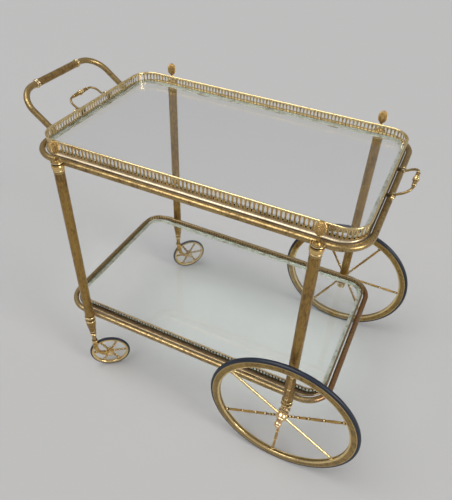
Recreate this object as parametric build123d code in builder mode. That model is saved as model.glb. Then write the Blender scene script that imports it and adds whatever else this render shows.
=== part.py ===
from build123d import *
from math import atan2, cos, degrees, pi, radians, sin
import os

# Tea trolley: four turned posts carry two round-cornered bar loops. The upper loop holds a
# lift-off glass tray, the lower one a fixed glass shelf. Origin under the middle of the
# posts, on the floor: X runs from the caster end to the big wheels, Z is up, millimetres.

# Posts and loops
POST_LONG = 480.0  # between post axes, along the trolley
POST_WIDE = 400.0  # between post axes, across the trolley
POST_RADIUS = 9.75
POST_TOP = 585.0  # top of the capital plates
BAR_RADIUS = 6.0  # bar of both loops and of the push handle
LOOP_LONG = 620.0  # between the bar centres of a loop
LOOP_WIDE = 384.0
LOOP_CORNER = 54.0
TOP_LOOP_HEIGHT = 579.0
LOW_LOOP_HEIGHT = 185.0

# Trays
TRAY_LONG = 607.0  # outside the beaded rail
TRAY_WIDE = 354.0
TRAY_CORNER = 40.0
TRAY_BASE = 577.7
TRAY_HEIGHT = 29.8
SHELF_LONG = 604.0
SHELF_BASE = 184.0
SHELF_HEIGHT = 20.0
SLOT_PITCH = 7.45
GLASS_THICKNESS = 5.0

# Wheels and casters
WHEEL_RADIUS = 157.0
WHEEL_SPOKES = 6
SPOKE_TURN_NEAR = 27.3  # degrees from +X to the first spoke
SPOKE_TURN_FAR = 0.5
CASTER_RADIUS = 47.5
CASTER_TRAIL = 31.0
CASTER_TURN_NEAR = 36.0  # degrees from +X to the way each caster trails
CASTER_TURN_FAR = 47.0

# Push handle
PUSH_WIDE = 233.0  # between the bar centres of its arms
PUSH_REACH = 103.0  # from the loop's bar centre to the grip's axis
PUSH_RISE = 37.4  # degrees above level
PUSH_BEND = 45.0

# Tray handles
BAIL_WIDE = 81.0
BAIL_REACH = 29.0
BAIL_RISE = 30.0
BAIL_BEND = 16.0
BAIL_RADIUS = 2.2
PIVOT_OUT = 12.6  # pivot axis outside the gallery wall
PIVOT_HEIGHT = 597.0

# Fits and cuts
SEAT_GAP = 0.3  # between a piece that moves or lifts off and what carries it
RUNNING_FIT = 0.08  # round a turning pin, on the radius
SHUT_FIT = 0.05  # round a fixed pin, on the radius
OVERRUN = 5.0

# Round work is drawn with flat sides, which keeps so many turned pieces light
BAR_SIDES = 12
SMALL_SIDES = 8
SPOKE_SIDES = 6
WHEEL_SIDES = 36
CASTER_SIDES = 24
BEND_CUTS = 5  # short straight lengths in a quarter bend
QUARTER = 90.0
HALF_TURN = 180.0
FULL_TURN = 360.0

ENDS = {"left": -1, "right": 1}
SIDES = {"near": -1, "far": 1}


def save(piece, name):
    """Labels a finished piece and writes its file"""
    piece.label = name
    export_step(piece, f"parts/{name}.step")


def turned(base, sides, stations):
    """Turned piece with flat sides: its outline through (place, radius) stations is extruded
    across the piece, and the same form is kept in common at each turn about the axis"""
    reach = 2 * max(radius for place, radius in stations)
    right = [(radius, place) for place, radius in stations]
    left = [(-radius, place) for place, radius in reversed(stations)]
    with BuildPart() as piece:
        for turn in range(sides // 2):
            angle = radians(FULL_TURN * turn / sides)
            out = base.x_dir * cos(angle) + base.y_dir * sin(angle)
            with BuildSketch(Plane(base.origin, x_dir=out, z_dir=out.cross(base.z_dir))):
                with BuildLine():
                    Polyline(*right, *left, close=True)
                make_face()
            extrude(amount=reach, both=True, mode=Mode.INTERSECT if turn else Mode.ADD)
    return piece.part


def loop_points(half_long, half_wide, corner):
    """Round-cornered loop from the middle of its near side, each bend in short straight cuts"""
    points = [(0, -half_wide)]
    for turn, (along, across) in enumerate(((1, -1), (1, 1), (-1, 1), (-1, -1))):
        for cut in range(BEND_CUTS + 1):
            angle = radians(QUARTER * (turn - 1 + cut / BEND_CUTS))
            x = along * (half_long - corner) + corner * cos(angle)
            y = across * (half_wide - corner) + corner * sin(angle)
            points.append((x, y))
    return points + [points[0]]


def bail_points(half_wide, reach, corner):
    """Square-shouldered hoop from one foot to the other, with its two bends in short cuts"""
    points = [(half_wide, 0)]
    for turn, side in enumerate((1, -1)):
        for cut in range(BEND_CUTS + 1):
            angle = radians(QUARTER * (turn + cut / BEND_CUTS))
            x = side * (half_wide - corner) + corner * cos(angle)
            points.append((x, reach - corner + corner * sin(angle)))
    return points + [(-half_wide, 0)]


def bar(plane, points, radius, sides, across):
    """Bar along a route drawn on a plane, its section square to the route's first length"""
    with BuildPart() as piece:
        with BuildLine(plane) as route:
            Polyline(*points)
        start = route.wire() @ 0
        with BuildSketch(Plane(origin=start, x_dir=across, z_dir=route.wire() % 0)):
            RegularPolygon(radius, sides, major_radius=False, rotation=HALF_TURN / sides)
        sweep(path=route.wire(), transition=Transition.RIGHT)
    return piece.part


def loop_bar(height):
    """One bar loop of the frame"""
    points = loop_points(LOOP_LONG / 2, LOOP_WIDE / 2, LOOP_CORNER)
    return bar(Plane.XY.offset(height), points, BAR_RADIUS, BAR_SIDES, (0, 1, 0))


# Posts

FOOT_RING_RADIUS = 11.2
FOOT_RING_LOW = 163.0
LOOP_RING_TOP = 180.0
RING_WIDTH = 3.0
RING_EASE = 1.0
CAPITAL_RADIUS = 12.0
CAPITAL_HEIGHT = 7.0
TORUS_RADIUS = 11.75
TORUS_HEIGHT = 6.0
COVE_RADIUS = 9.3
COVE_HEIGHT = 5.0
NECK_RING_RADIUS = 10.6
NECK_RING_HEIGHT = 4.0
AXLE_POST_END = 141.5
AXLE_POST_TIP_RADIUS = 7.0
CASTER_POST_END = 118.3
CASTER_POST_TIP_RADIUS = 7.0
CASTER_POST_TIP_HEIGHT = 3.0
FERRULE_RADIUS = 8.0
FERRULE_HEIGHT = 11.7
AXLE_RADIUS = 5.0
STEM_RADIUS = 4.0
STEM_LENGTH = 32.0


def ring_stations(low, width, radius):
    """Raised ring on a post, from its lower edge"""
    return [
        (low, POST_RADIUS),
        (low + RING_EASE, radius),
        (low + width - RING_EASE, radius),
        (low + width, POST_RADIUS),
    ]


def post_stations(foot):
    """Whole post from its foot's own stations up to the capital plate"""
    plate = POST_TOP - CAPITAL_HEIGHT
    cove = plate - RING_EASE - COVE_HEIGHT
    torus = cove - RING_EASE - TORUS_HEIGHT
    ring = torus - 2 * RING_EASE - NECK_RING_HEIGHT
    return (
        foot
        + ring_stations(FOOT_RING_LOW, RING_WIDTH + RING_EASE, FOOT_RING_RADIUS)
        + ring_stations(LOOP_RING_TOP - RING_WIDTH, RING_WIDTH, FOOT_RING_RADIUS)
        + ring_stations(ring, NECK_RING_HEIGHT, NECK_RING_RADIUS)
        + [
            (torus, TORUS_RADIUS),
            (torus + TORUS_HEIGHT, TORUS_RADIUS),
            (cove, COVE_RADIUS),
            (cove + COVE_HEIGHT, COVE_RADIUS),
            (plate, CAPITAL_RADIUS),
            (POST_TOP, CAPITAL_RADIUS),
        ]
    )


def post(end, side):
    """Post of one corner, notched for both loops, with its axle hole or caster socket"""
    x = ENDS[end] * POST_LONG / 2
    y = SIDES[side] * POST_WIDE / 2
    if end == "right":
        foot = [(AXLE_POST_END, AXLE_POST_TIP_RADIUS)]
        foot += [(AXLE_POST_END + RING_WIDTH, POST_RADIUS)]
    else:
        foot = [(CASTER_POST_END, CASTER_POST_TIP_RADIUS)]
        foot += [(CASTER_POST_END + CASTER_POST_TIP_HEIGHT, CASTER_POST_TIP_RADIUS)]
        foot += [(CASTER_POST_END + FERRULE_HEIGHT, FERRULE_RADIUS)]
    with BuildPart() as piece:
        add(turned(Plane((x, y, 0)), BAR_SIDES, post_stations(foot)))
        for height in (TOP_LOOP_HEIGHT, LOW_LOOP_HEIGHT):
            bar_axis = (x, SIDES[side] * LOOP_WIDE / 2, height)
            with BuildSketch(Plane(bar_axis, x_dir=(0, 1, 0), z_dir=(1, 0, 0))):
                RegularPolygon(
                    BAR_RADIUS, BAR_SIDES, major_radius=False, rotation=HALF_TURN / BAR_SIDES
                )
            extrude(amount=CAPITAL_RADIUS + OVERRUN, both=True, mode=Mode.SUBTRACT)
        with BuildSketch(Plane((x, SIDES[side] * LOOP_WIDE / 2, TOP_LOOP_HEIGHT))):
            with Locations((0, -SIDES[side] * CAPITAL_RADIUS)):
                Rectangle(2 * (CAPITAL_RADIUS + OVERRUN), 2 * CAPITAL_RADIUS)
        extrude(amount=BAR_RADIUS + OVERRUN, mode=Mode.SUBTRACT)
        if end == "right":
            with BuildSketch(Plane((x, y, WHEEL_RADIUS), x_dir=(1, 0, 0), z_dir=(0, 1, 0))):
                Circle(AXLE_RADIUS + SHUT_FIT)
            extrude(amount=POST_RADIUS + OVERRUN, both=True, mode=Mode.SUBTRACT)
        else:
            with BuildSketch(Plane((x, y, CASTER_POST_END))):
                Circle(STEM_RADIUS + RUNNING_FIT)
            extrude(amount=STEM_LENGTH + SEAT_GAP, mode=Mode.SUBTRACT)
    return piece.part


# Pine-cone finials, as shares of their height and of their widest radius

FINIAL_HEIGHT = 40.0
FINIAL_RADIUS = 9.5
FINIAL_SHARES = [
    (0.0, 0.76),
    (0.05, 0.76),
    (0.12, 0.42),
    (0.3, 0.36),
    (0.38, 0.5),
    (0.44, 0.8),
    (0.56, 0.98),
    (0.68, 1.0),
    (0.82, 0.84),
    (0.94, 0.46),
    (1.0, 0.14),
]


def finial(end, side):
    """Finial screwed on top of one post"""
    base = Plane((ENDS[end] * POST_LONG / 2, SIDES[side] * POST_WIDE / 2, POST_TOP))
    stations = [(h * FINIAL_HEIGHT, r * FINIAL_RADIUS) for h, r in FINIAL_SHARES]
    return turned(base, BAR_SIDES, stations)


# Brackets that carry the tray and the shelf inside the loops

BRACKET_PLACE = 150.0
BRACKET_LENGTH = 24.0
BRACKET_THICKNESS = 3.0
BRACKET_LAP = 11.0  # how far it runs in under the skirt


def brackets(loop_height, seat_height):
    """Four flat brackets, shaped to the loop's bar, with their tops at the seat height"""
    inner = TRAY_WIDE / 2 - BRACKET_LAP
    outer = LOOP_WIDE / 2
    with BuildPart() as group:
        with BuildSketch(Plane.XY.offset(seat_height - BRACKET_THICKNESS)):
            with GridLocations(2 * BRACKET_PLACE, inner + outer, 2, 2):
                Rectangle(BRACKET_LENGTH, outer - inner)
        extrude(amount=BRACKET_THICKNESS)
        add(loop_bar(loop_height), mode=Mode.SUBTRACT)
    return group.part


# Pierced galleries

WALL = 1.2
RAIL_WIDTH = 3.4
RAIL_HEIGHT = 3.5
SHELF_RAIL_HEIGHT = 2.5
SKIRT_PROUD = 0.6
SKIRT_LIP = 3.0  # further out along both long sides, towards the loop's bars
MOULDING_PROUD = 1.6
MOULDING_LIP = 6.0
MOULDING_HEIGHT = 3.0
SLOT_STEP = 1.0  # solid strip between the moulding and the slots
SLOT_SHARE = 0.56  # of the pitch
TRAY_SKIRT = 5.3  # from the tray's foot up to its glass
SHELF_SKIRT = 3.0
LEDGE_WIDTH = 9.0
LEDGE_THICKNESS = 1.5
GLASS_GAP = 0.4


def outline(long, inset, height, lip=0):
    """Round-cornered outline of a tray, inset from its outermost edge, on a level plane"""
    wide = TRAY_WIDE + 2 * lip
    with BuildSketch(Plane.XY.offset(height)) as shape:
        RectangleRounded(long - 2 * inset, wide - 2 * inset, TRAY_CORNER + lip - inset)
    return shape.sketch


def slot_places(long, height, pitch):
    """Even places along the middle of a gallery wall, each turned along the wall"""
    loop = outline(long, RAIL_WIDTH / 2, height).face().outer_wire()
    count = round(loop.length / pitch)
    places = []
    for slot in range(count):
        share = (2 * slot + 1) / (2 * count)
        along = loop.tangent_at(share)
        places.append(Location(loop.position_at(share), (0, 0, degrees(atan2(along.Y, along.X)))))
    return places


def gallery(long, base, rail_base, glass_base):
    """Gallery wall with its moulding, its skirt and the ledge for the glass"""
    wall = RAIL_WIDTH / 2 - WALL / 2
    inner = wall + WALL
    top = glass_base + MOULDING_HEIGHT
    bands = [
        (base, glass_base, wall - SKIRT_PROUD, SKIRT_LIP),
        (glass_base, top, wall - MOULDING_PROUD, MOULDING_LIP),
        (top, rail_base, wall, 0),
    ]
    wells = [
        (base - OVERRUN, glass_base - LEDGE_THICKNESS, inner),
        (base - OVERRUN, glass_base + OVERRUN, inner + LEDGE_WIDTH),
        (glass_base, rail_base + OVERRUN, inner),
    ]
    with BuildPart() as piece:
        for low, high, inset, lip in bands:
            extrude(outline(long, inset, low, lip), high - low)
        for low, high, inset in wells:
            extrude(outline(long, inset, low), high - low, mode=Mode.SUBTRACT)
    return piece.part


def pierced(wall, long, slot_base, slot_top, pitch):
    """Gallery with a row of slots, open at the top where its rail closes them"""
    with BuildPart() as piece:
        add(wall)
        with Locations(*slot_places(long, slot_base, pitch)):
            Box(
                SLOT_SHARE * pitch,
                RAIL_WIDTH,
                slot_top - slot_base + OVERRUN,
                align=(Align.CENTER, Align.CENTER, Align.MIN),
                mode=Mode.SUBTRACT,
            )
    return piece.part


def rail(long, low, height):
    """Beaded rail that caps a gallery wall"""
    with BuildPart() as piece:
        extrude(outline(long, 0, low), height)
        extrude(outline(long, RAIL_WIDTH, low), height, mode=Mode.SUBTRACT)
    return piece.part


def glass(long, base):
    """Glass pane that lies on a gallery's ledge"""
    inset = RAIL_WIDTH / 2 + WALL / 2 + GLASS_GAP
    with BuildPart() as piece:
        extrude(outline(long, inset, base), GLASS_THICKNESS)
    return piece.part


# Push handle

GRIP_RADIUS = 7.3
GRIP_HALF = 59.0
COLLAR_RADIUS = 9.0
COLLAR_WIDTH = 6.0
COLLAR_EASE = 1.5


def push_plane():
    """Sloping plane of the push handle, its origin on the left bar of the upper loop"""
    rise = radians(PUSH_RISE)
    foot = (-LOOP_LONG / 2, 0, TOP_LOOP_HEIGHT)
    return Plane(foot, x_dir=(0, 1, 0), z_dir=(sin(rise), 0, cos(rise)))


def push_handle():
    """Hoop of bar, shaped at its feet to the loop that it is brazed to"""
    points = bail_points(PUSH_WIDE / 2, PUSH_REACH, PUSH_BEND)
    with BuildPart() as piece:
        add(bar(push_plane(), points, BAR_RADIUS, BAR_SIDES, push_plane().z_dir))
        add(loop_bar(TOP_LOOP_HEIGHT), mode=Mode.SUBTRACT)
    return piece.part


def grip_plane():
    """Square across the push handle's grip, at its middle"""
    middle = push_plane().from_local_coords(Vector(0, PUSH_REACH, 0))
    return Plane(middle, x_dir=push_plane().z_dir, z_dir=(0, 1, 0))


def push_grip():
    """Sleeve over the straight of the push handle"""
    with BuildPart() as piece:
        for radius, mode in ((GRIP_RADIUS, Mode.ADD), (BAR_RADIUS, Mode.SUBTRACT)):
            with BuildSketch(grip_plane()):
                RegularPolygon(radius, BAR_SIDES, major_radius=False, rotation=HALF_TURN / BAR_SIDES)
            extrude(amount=GRIP_HALF, both=True, mode=mode)
    return piece.part


def push_collars():
    """Ringed collars against both ends of the grip"""
    stations = [
        (0, COLLAR_RADIUS - COLLAR_EASE),
        (COLLAR_EASE, COLLAR_RADIUS),
        (COLLAR_WIDTH - COLLAR_EASE, COLLAR_RADIUS),
        (COLLAR_WIDTH, COLLAR_RADIUS - COLLAR_EASE),
    ]
    with BuildPart() as group:
        for start in (GRIP_HALF, -GRIP_HALF - COLLAR_WIDTH):
            add(turned(grip_plane().offset(start), BAR_SIDES, stations))
        with BuildSketch(grip_plane()):
            RegularPolygon(BAR_RADIUS, BAR_SIDES, major_radius=False, rotation=HALF_TURN / BAR_SIDES)
        extrude(amount=GRIP_HALF + COLLAR_WIDTH + OVERRUN, both=True, mode=Mode.SUBTRACT)
    return group.part


# Tray handles: lugs on the gallery, ball-headed pins and a hoop with a turned grip

LUG_BASE = (14.0, 12.0)
LUG_BASE_THICKNESS = 1.6
EAR_THICKNESS = 2.6
EAR_RADIUS = 4.5
EYE_RADIUS = 4.4
EYE_WIDTH = 4.4
PIN_RADIUS = 1.6
PIN_BALL_RADIUS = 3.9
PIN_NECK_RADIUS = 2.4
PIN_NECK = 1.2
BAIL_GRIP_HALF = 24.0
BAIL_GRIP_SHARES = [
    (-1.0, 0.5),
    (-0.88, 0.66),
    (-0.82, 0.52),
    (-0.2, 0.62),
    (-0.16, 0.8),
    (-0.1, 0.62),
    (0.0, 1.0),
    (0.1, 0.62),
    (0.16, 0.8),
    (0.2, 0.62),
    (0.82, 0.52),
    (0.88, 0.66),
    (1.0, 0.5),
]
BAIL_GRIP_RADIUS = 5.6


def pivot_x():
    """How far along the trolley the pins lie"""
    return TRAY_LONG / 2 - RAIL_WIDTH / 2 + PIVOT_OUT


def ear_start():
    """Inner face of an ear, across the trolley, clear of the hoop's eye"""
    return BAIL_WIDE / 2 + EYE_WIDTH / 2 + SEAT_GAP


def lugs():
    """Four lugs, each a flat base on the gallery wall and an ear round a pin"""
    face = TRAY_LONG / 2 - RAIL_WIDTH / 2 + WALL / 2
    middle = ear_start() + EAR_THICKNESS / 2
    with BuildPart() as group:
        for end in ENDS.values():
            for side in SIDES.values():
                with BuildSketch(Plane((end * face, side * middle, PIVOT_HEIGHT), z_dir=(end, 0, 0))):
                    Rectangle(LUG_BASE[1], LUG_BASE[0])
                extrude(amount=LUG_BASE_THICKNESS)
                ear = Plane((end * face, side * middle, PIVOT_HEIGHT), x_dir=(end, 0, 0), z_dir=(0, 1, 0))
                with BuildSketch(ear):
                    with Locations((pivot_x() - face, 0)):
                        RegularPolygon(EAR_RADIUS, BAR_SIDES)
                    with Locations(((pivot_x() - face) / 2, 0)):
                        Rectangle(pivot_x() - face, 2 * EAR_RADIUS * cos(pi / BAR_SIDES))
                    with Locations((pivot_x() - face, 0)):
                        Circle(PIN_RADIUS + SHUT_FIT, mode=Mode.SUBTRACT)
                extrude(amount=EAR_THICKNESS / 2, both=True)
    return group.part


def pivot_pins():
    """Four pins through ear and eye, each with a ball head outside"""
    start = BAIL_WIDE / 2 - EYE_WIDTH / 2
    head = ear_start() + EAR_THICKNESS
    ball = PIN_BALL_RADIUS
    stations = [
        (head, PIN_NECK_RADIUS),
        (head + PIN_NECK, PIN_NECK_RADIUS),
        (head + PIN_NECK + ball / 2, ball),
        (head + PIN_NECK + 2 * ball - ball / 2, ball),
        (head + PIN_NECK + 2 * ball, PIN_NECK_RADIUS),
    ]
    with BuildPart() as group:
        for end in ENDS.values():
            for side in SIDES.values():
                base = Plane((end * pivot_x(), 0, PIVOT_HEIGHT), z_dir=(0, side, 0))
                add(turned(base, SMALL_SIDES, stations))
                with BuildSketch(base.offset(start)):
                    Circle(PIN_RADIUS)
                extrude(amount=head - start)
    return group.part


def bail_plane(end):
    """Plane of a tray handle at rest: its origin between the pins, its Y towards the grip"""
    rise = radians(BAIL_RISE)
    foot = (ENDS[end] * pivot_x(), 0, PIVOT_HEIGHT)
    return Plane(foot, x_dir=(0, -ENDS[end], 0), z_dir=(-ENDS[end] * sin(rise), 0, cos(rise)))


def bail(end):
    """Hoop of a tray handle with a round eye on each foot"""
    plane = bail_plane(end)
    with BuildPart() as piece:
        points = bail_points(BAIL_WIDE / 2, BAIL_REACH, BAIL_BEND)
        add(bar(plane, points, BAIL_RADIUS, SMALL_SIDES, plane.z_dir))
        for side in SIDES.values():
            eye = Plane((ENDS[end] * pivot_x(), side * BAIL_WIDE / 2, PIVOT_HEIGHT), z_dir=(0, 1, 0))
            with BuildSketch(eye):
                RegularPolygon(EYE_RADIUS, BAR_SIDES)
            extrude(amount=EYE_WIDTH / 2, both=True)
            with BuildSketch(eye):
                Circle(PIN_RADIUS + RUNNING_FIT)
            extrude(amount=EYE_WIDTH, both=True, mode=Mode.SUBTRACT)
    return piece.part


def bail_grip(end):
    """Turned grip threaded on the straight of a tray handle"""
    middle = bail_plane(end).from_local_coords(Vector(0, BAIL_REACH, 0))
    across = Plane(middle, x_dir=bail_plane(end).z_dir, z_dir=(0, 1, 0))
    stations = [(h * BAIL_GRIP_HALF, r * BAIL_GRIP_RADIUS) for h, r in BAIL_GRIP_SHARES]
    with BuildPart() as piece:
        add(turned(across, SMALL_SIDES, stations))
        with BuildSketch(across):
            RegularPolygon(BAIL_RADIUS, SMALL_SIDES, major_radius=False, rotation=HALF_TURN / SMALL_SIDES)
        extrude(amount=BAIL_GRIP_HALF + OVERRUN, both=True, mode=Mode.SUBTRACT)
    return piece.part


# Big wheels, each drawn outwards from the middle of its hub

WHEEL_OUT = 25.0  # wheel's middle plane outside the post axis
TYRE_INNER = 151.0
TYRE_HALF = 6.0
TYRE_SHARES = [(0.5, 1.0), (1.0, 0.45)]  # of the half width, of the tyre's height
RIM_INNER = 136.0
RIM_HALF = 5.5
RIM_EASE = 1.5
HUB_RADIUS = 11.0
HUB_BEAD_RADIUS = 12.5
HUB_LENGTH = 24.0
HUB_BEAD = 5.0
HUB_EASE = 1.5
CAP_SHARES = [  # of the cap's length and of its widest radius
    (0.0, 1.0),
    (0.14, 1.0),
    (0.24, 0.58),
    (0.32, 0.58),
    (0.48, 0.88),
    (0.68, 0.92),
    (0.88, 0.7),
    (1.0, 0.3),
]
CAP_LENGTH = 19.5
CAP_RADIUS = 8.3
CAP_BORE = 9.0
SHOULDER_RADIUS = 5.9
AXLE_TIP_RADIUS = 3.0
HEAD_RADIUS = 8.0
HEAD_WIDTH = 5.0
HEAD_SIDES = 6
SPOKE_SHARES = [  # of the length and of the widest radius
    (0.0, 0.62),
    (0.23, 0.56),
    (0.27, 0.9),
    (0.31, 0.56),
    (0.41, 1.0),
    (0.51, 0.54),
    (0.71, 0.85),
    (0.78, 0.5),
    (0.95, 0.5),
    (0.98, 1.0),
    (1.0, 1.0),
]
SPOKE_RADIUS = 5.0
PLAIN_SHARES = [(0.0, 0.5), (0.95, 0.5), (0.98, 0.8), (1.0, 0.8)]
PLAIN_SPOKES = {"near": (2, 5), "far": ()}  # the near wheel has a pair of plain rods


def hub_middle(side):
    """Centre of a big wheel"""
    return Vector(POST_LONG / 2, SIDES[side] * (POST_WIDE / 2 + WHEEL_OUT), WHEEL_RADIUS)


def wheel_plane(side):
    """Middle plane of a big wheel, facing outwards, with a spoke along its X"""
    turn = radians({"near": SPOKE_TURN_NEAR, "far": SPOKE_TURN_FAR}[side])
    return Plane(hub_middle(side), x_dir=(cos(turn), 0, sin(turn)), z_dir=(0, SIDES[side], 0))


def disc(plane, sides, radius, half, rounding=()):
    """Flat-sided disc about a plane, its edges eased by (place, radius) stations outwards"""
    stations = [(0, radius), *rounding] if rounding else [(0, radius), (half, radius)]
    turn = HALF_TURN / sides
    with BuildPart() as piece:
        for face in (plane, Plane(plane.origin, x_dir=plane.x_dir, z_dir=-plane.z_dir)):
            for (start, first), (end, last) in zip(stations, stations[1:]):
                with BuildSketch(face.offset(start)):
                    RegularPolygon(first, sides, major_radius=False, rotation=turn)
                extrude(amount=end - start, taper=degrees(atan2(first - last, end - start)))
    return piece.part


def tyre(plane, sides, outer, inner, half):
    """Tyre with rounded shoulders on a rim of the inner radius"""
    height = outer - inner
    rounding = [(TYRE_SHARES[0][0] * half, outer)]
    rounding += [(w * half, inner + h * height) for w, h in TYRE_SHARES[1:]]
    with BuildPart() as piece:
        add(disc(plane, sides, outer, half, rounding))
        add(disc(plane, sides, inner, half + OVERRUN), mode=Mode.SUBTRACT)
    return piece.part


def wheel_rim(side):
    """Brass rim under the tyre"""
    plane = wheel_plane(side)
    rounding = [(RIM_HALF - RIM_EASE, TYRE_INNER), (RIM_HALF, TYRE_INNER - RIM_EASE)]
    with BuildPart() as piece:
        add(disc(plane, WHEEL_SIDES, TYRE_INNER, RIM_HALF, rounding))
        add(disc(plane, WHEEL_SIDES, RIM_INNER, RIM_HALF + OVERRUN), mode=Mode.SUBTRACT)
    return piece.part


def wheel_spokes(side):
    """Six turned spokes from the hub's flats to the rim, some of them plain rods"""
    plane = wheel_plane(side)
    length = RIM_INNER - HUB_RADIUS
    beaded = [(HUB_RADIUS + d * length, r * SPOKE_RADIUS) for d, r in SPOKE_SHARES]
    plain = [(HUB_RADIUS + d * length, r * SPOKE_RADIUS) for d, r in PLAIN_SHARES]
    with BuildPart() as group:
        for spoke in range(WHEEL_SPOKES):
            turn = radians(FULL_TURN * spoke / WHEEL_SPOKES)
            way = plane.x_dir * cos(turn) + plane.y_dir * sin(turn)
            stations = plain if spoke in PLAIN_SPOKES[side] else beaded
            add(turned(Plane(plane.origin, x_dir=plane.z_dir, z_dir=way), SPOKE_SIDES, stations))
    return group.part


def hub_start():
    """Inner end of a hub, clear of the post's rings, out from the wheel's middle plane"""
    return FOOT_RING_RADIUS + SEAT_GAP - WHEEL_OUT


def wheel_hub(side):
    """Hub barrel with a bead at each end, bored for the axle"""
    plane = wheel_plane(side)
    start = hub_start()
    end = start + HUB_LENGTH
    stations = [
        (start, HUB_RADIUS),
        (start + HUB_EASE, HUB_BEAD_RADIUS),
        (start + HUB_BEAD - HUB_EASE, HUB_BEAD_RADIUS),
        (start + HUB_BEAD, HUB_RADIUS),
        (end - HUB_BEAD, HUB_RADIUS),
        (end - HUB_BEAD + HUB_EASE, HUB_BEAD_RADIUS),
        (end - HUB_EASE, HUB_BEAD_RADIUS),
        (end, HUB_RADIUS),
    ]
    with BuildPart() as piece:
        add(turned(plane, BAR_SIDES, stations))
        with BuildSketch(plane):
            Circle(AXLE_RADIUS + RUNNING_FIT)
        extrude(amount=HUB_LENGTH, both=True, mode=Mode.SUBTRACT)
    return piece.part


def axle(side):
    """Stub axle through the post, with a shoulder each side, a hexagon head and a thin tip"""
    plane = wheel_plane(side)
    face = FOOT_RING_RADIUS
    cap = hub_start() + HUB_LENGTH + SEAT_GAP
    lengths = [
        (-WHEEL_OUT - face, cap, AXLE_RADIUS),
        (-WHEEL_OUT - face, -WHEEL_OUT - POST_RADIUS, SHOULDER_RADIUS),
        (-WHEEL_OUT + POST_RADIUS, -WHEEL_OUT + face, SHOULDER_RADIUS),
        (cap, cap + CAP_BORE - SHUT_FIT, AXLE_TIP_RADIUS),
    ]
    with BuildPart() as piece:
        for start, end, radius in lengths:
            with BuildSketch(plane.offset(start)):
                Circle(radius)
            extrude(amount=end - start)
        with BuildSketch(plane.offset(-WHEEL_OUT - face)):
            RegularPolygon(HEAD_RADIUS, HEAD_SIDES)
        extrude(amount=-HEAD_WIDTH)
    return piece.part


def axle_cap(side):
    """Ball-ended cap screwed on the axle's tip"""
    base = wheel_plane(side).offset(hub_start() + HUB_LENGTH + SEAT_GAP)
    stations = [(h * CAP_LENGTH, r * CAP_RADIUS) for h, r in CAP_SHARES]
    with BuildPart() as piece:
        add(turned(base, BAR_SIDES, stations))
        with BuildSketch(base):
            Circle(AXLE_TIP_RADIUS + SHUT_FIT)
        extrude(amount=CAP_BORE, mode=Mode.SUBTRACT)
    return piece.part


# Casters, each drawn in the plane of its wheel with X along the way it trails

STEM_COLLAR_RADIUS = 7.0
STEM_COLLAR_WIDTH = 2.5
STEM_NECK_RADIUS = 5.8
STEM_FOOT_RADIUS = 6.9
STEM_FOOT_TOP = 94.0
STEM_FOOT_BASE = 89.8
ARM_GAP = 3.4  # between the tyre's side and the arm
ARM_THICKNESS = 4.0
ARM_WIDTH = 9.0
ARM_BOSS_RADIUS = 7.5
ARM_BOW_SHARES = [(0.06, 0.5), (0.38, 0.1)]  # of the trail and of the arm's drop
CASTER_TYRE_INNER = 43.5
CASTER_TYRE_HALF = 5.0
CASTER_RIM_INNER = 37.0
CASTER_RIM_HALF = 3.8
CASTER_HUB_RADIUS = 7.0
CASTER_HUB_HALF = 7.0
CASTER_SPOKES = 6
CASTER_SPOKE_WIDTH = 5.0
CASTER_SPOKE_THICKNESS = 4.0
CASTER_AXLE_RADIUS = 3.0
CASTER_HEAD_RADIUS = 5.0
CASTER_HEAD_WIDTH = 2.5


def stem_plane(side):
    """Level plane on the floor under a caster's stem, with X along the caster's trail"""
    turn = radians({"near": CASTER_TURN_NEAR, "far": CASTER_TURN_FAR}[side])
    origin = (-POST_LONG / 2, SIDES[side] * POST_WIDE / 2, 0)
    return Plane(origin, x_dir=(cos(turn), sin(turn), 0), z_dir=(0, 0, 1))


def trail_plane(side):
    """Upright plane through a caster's wheel, facing the side that the arm is on"""
    stem = stem_plane(side)
    return Plane(stem.origin, x_dir=stem.x_dir, z_dir=stem.x_dir.cross(stem.z_dir))


def caster_middle(side):
    """Middle plane of a caster's wheel, its origin on the wheel's axis"""
    upright = trail_plane(side)
    middle = upright.from_local_coords(Vector(CASTER_TRAIL, CASTER_RADIUS, 0))
    return Plane(middle, x_dir=upright.x_dir, z_dir=upright.z_dir)


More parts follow.
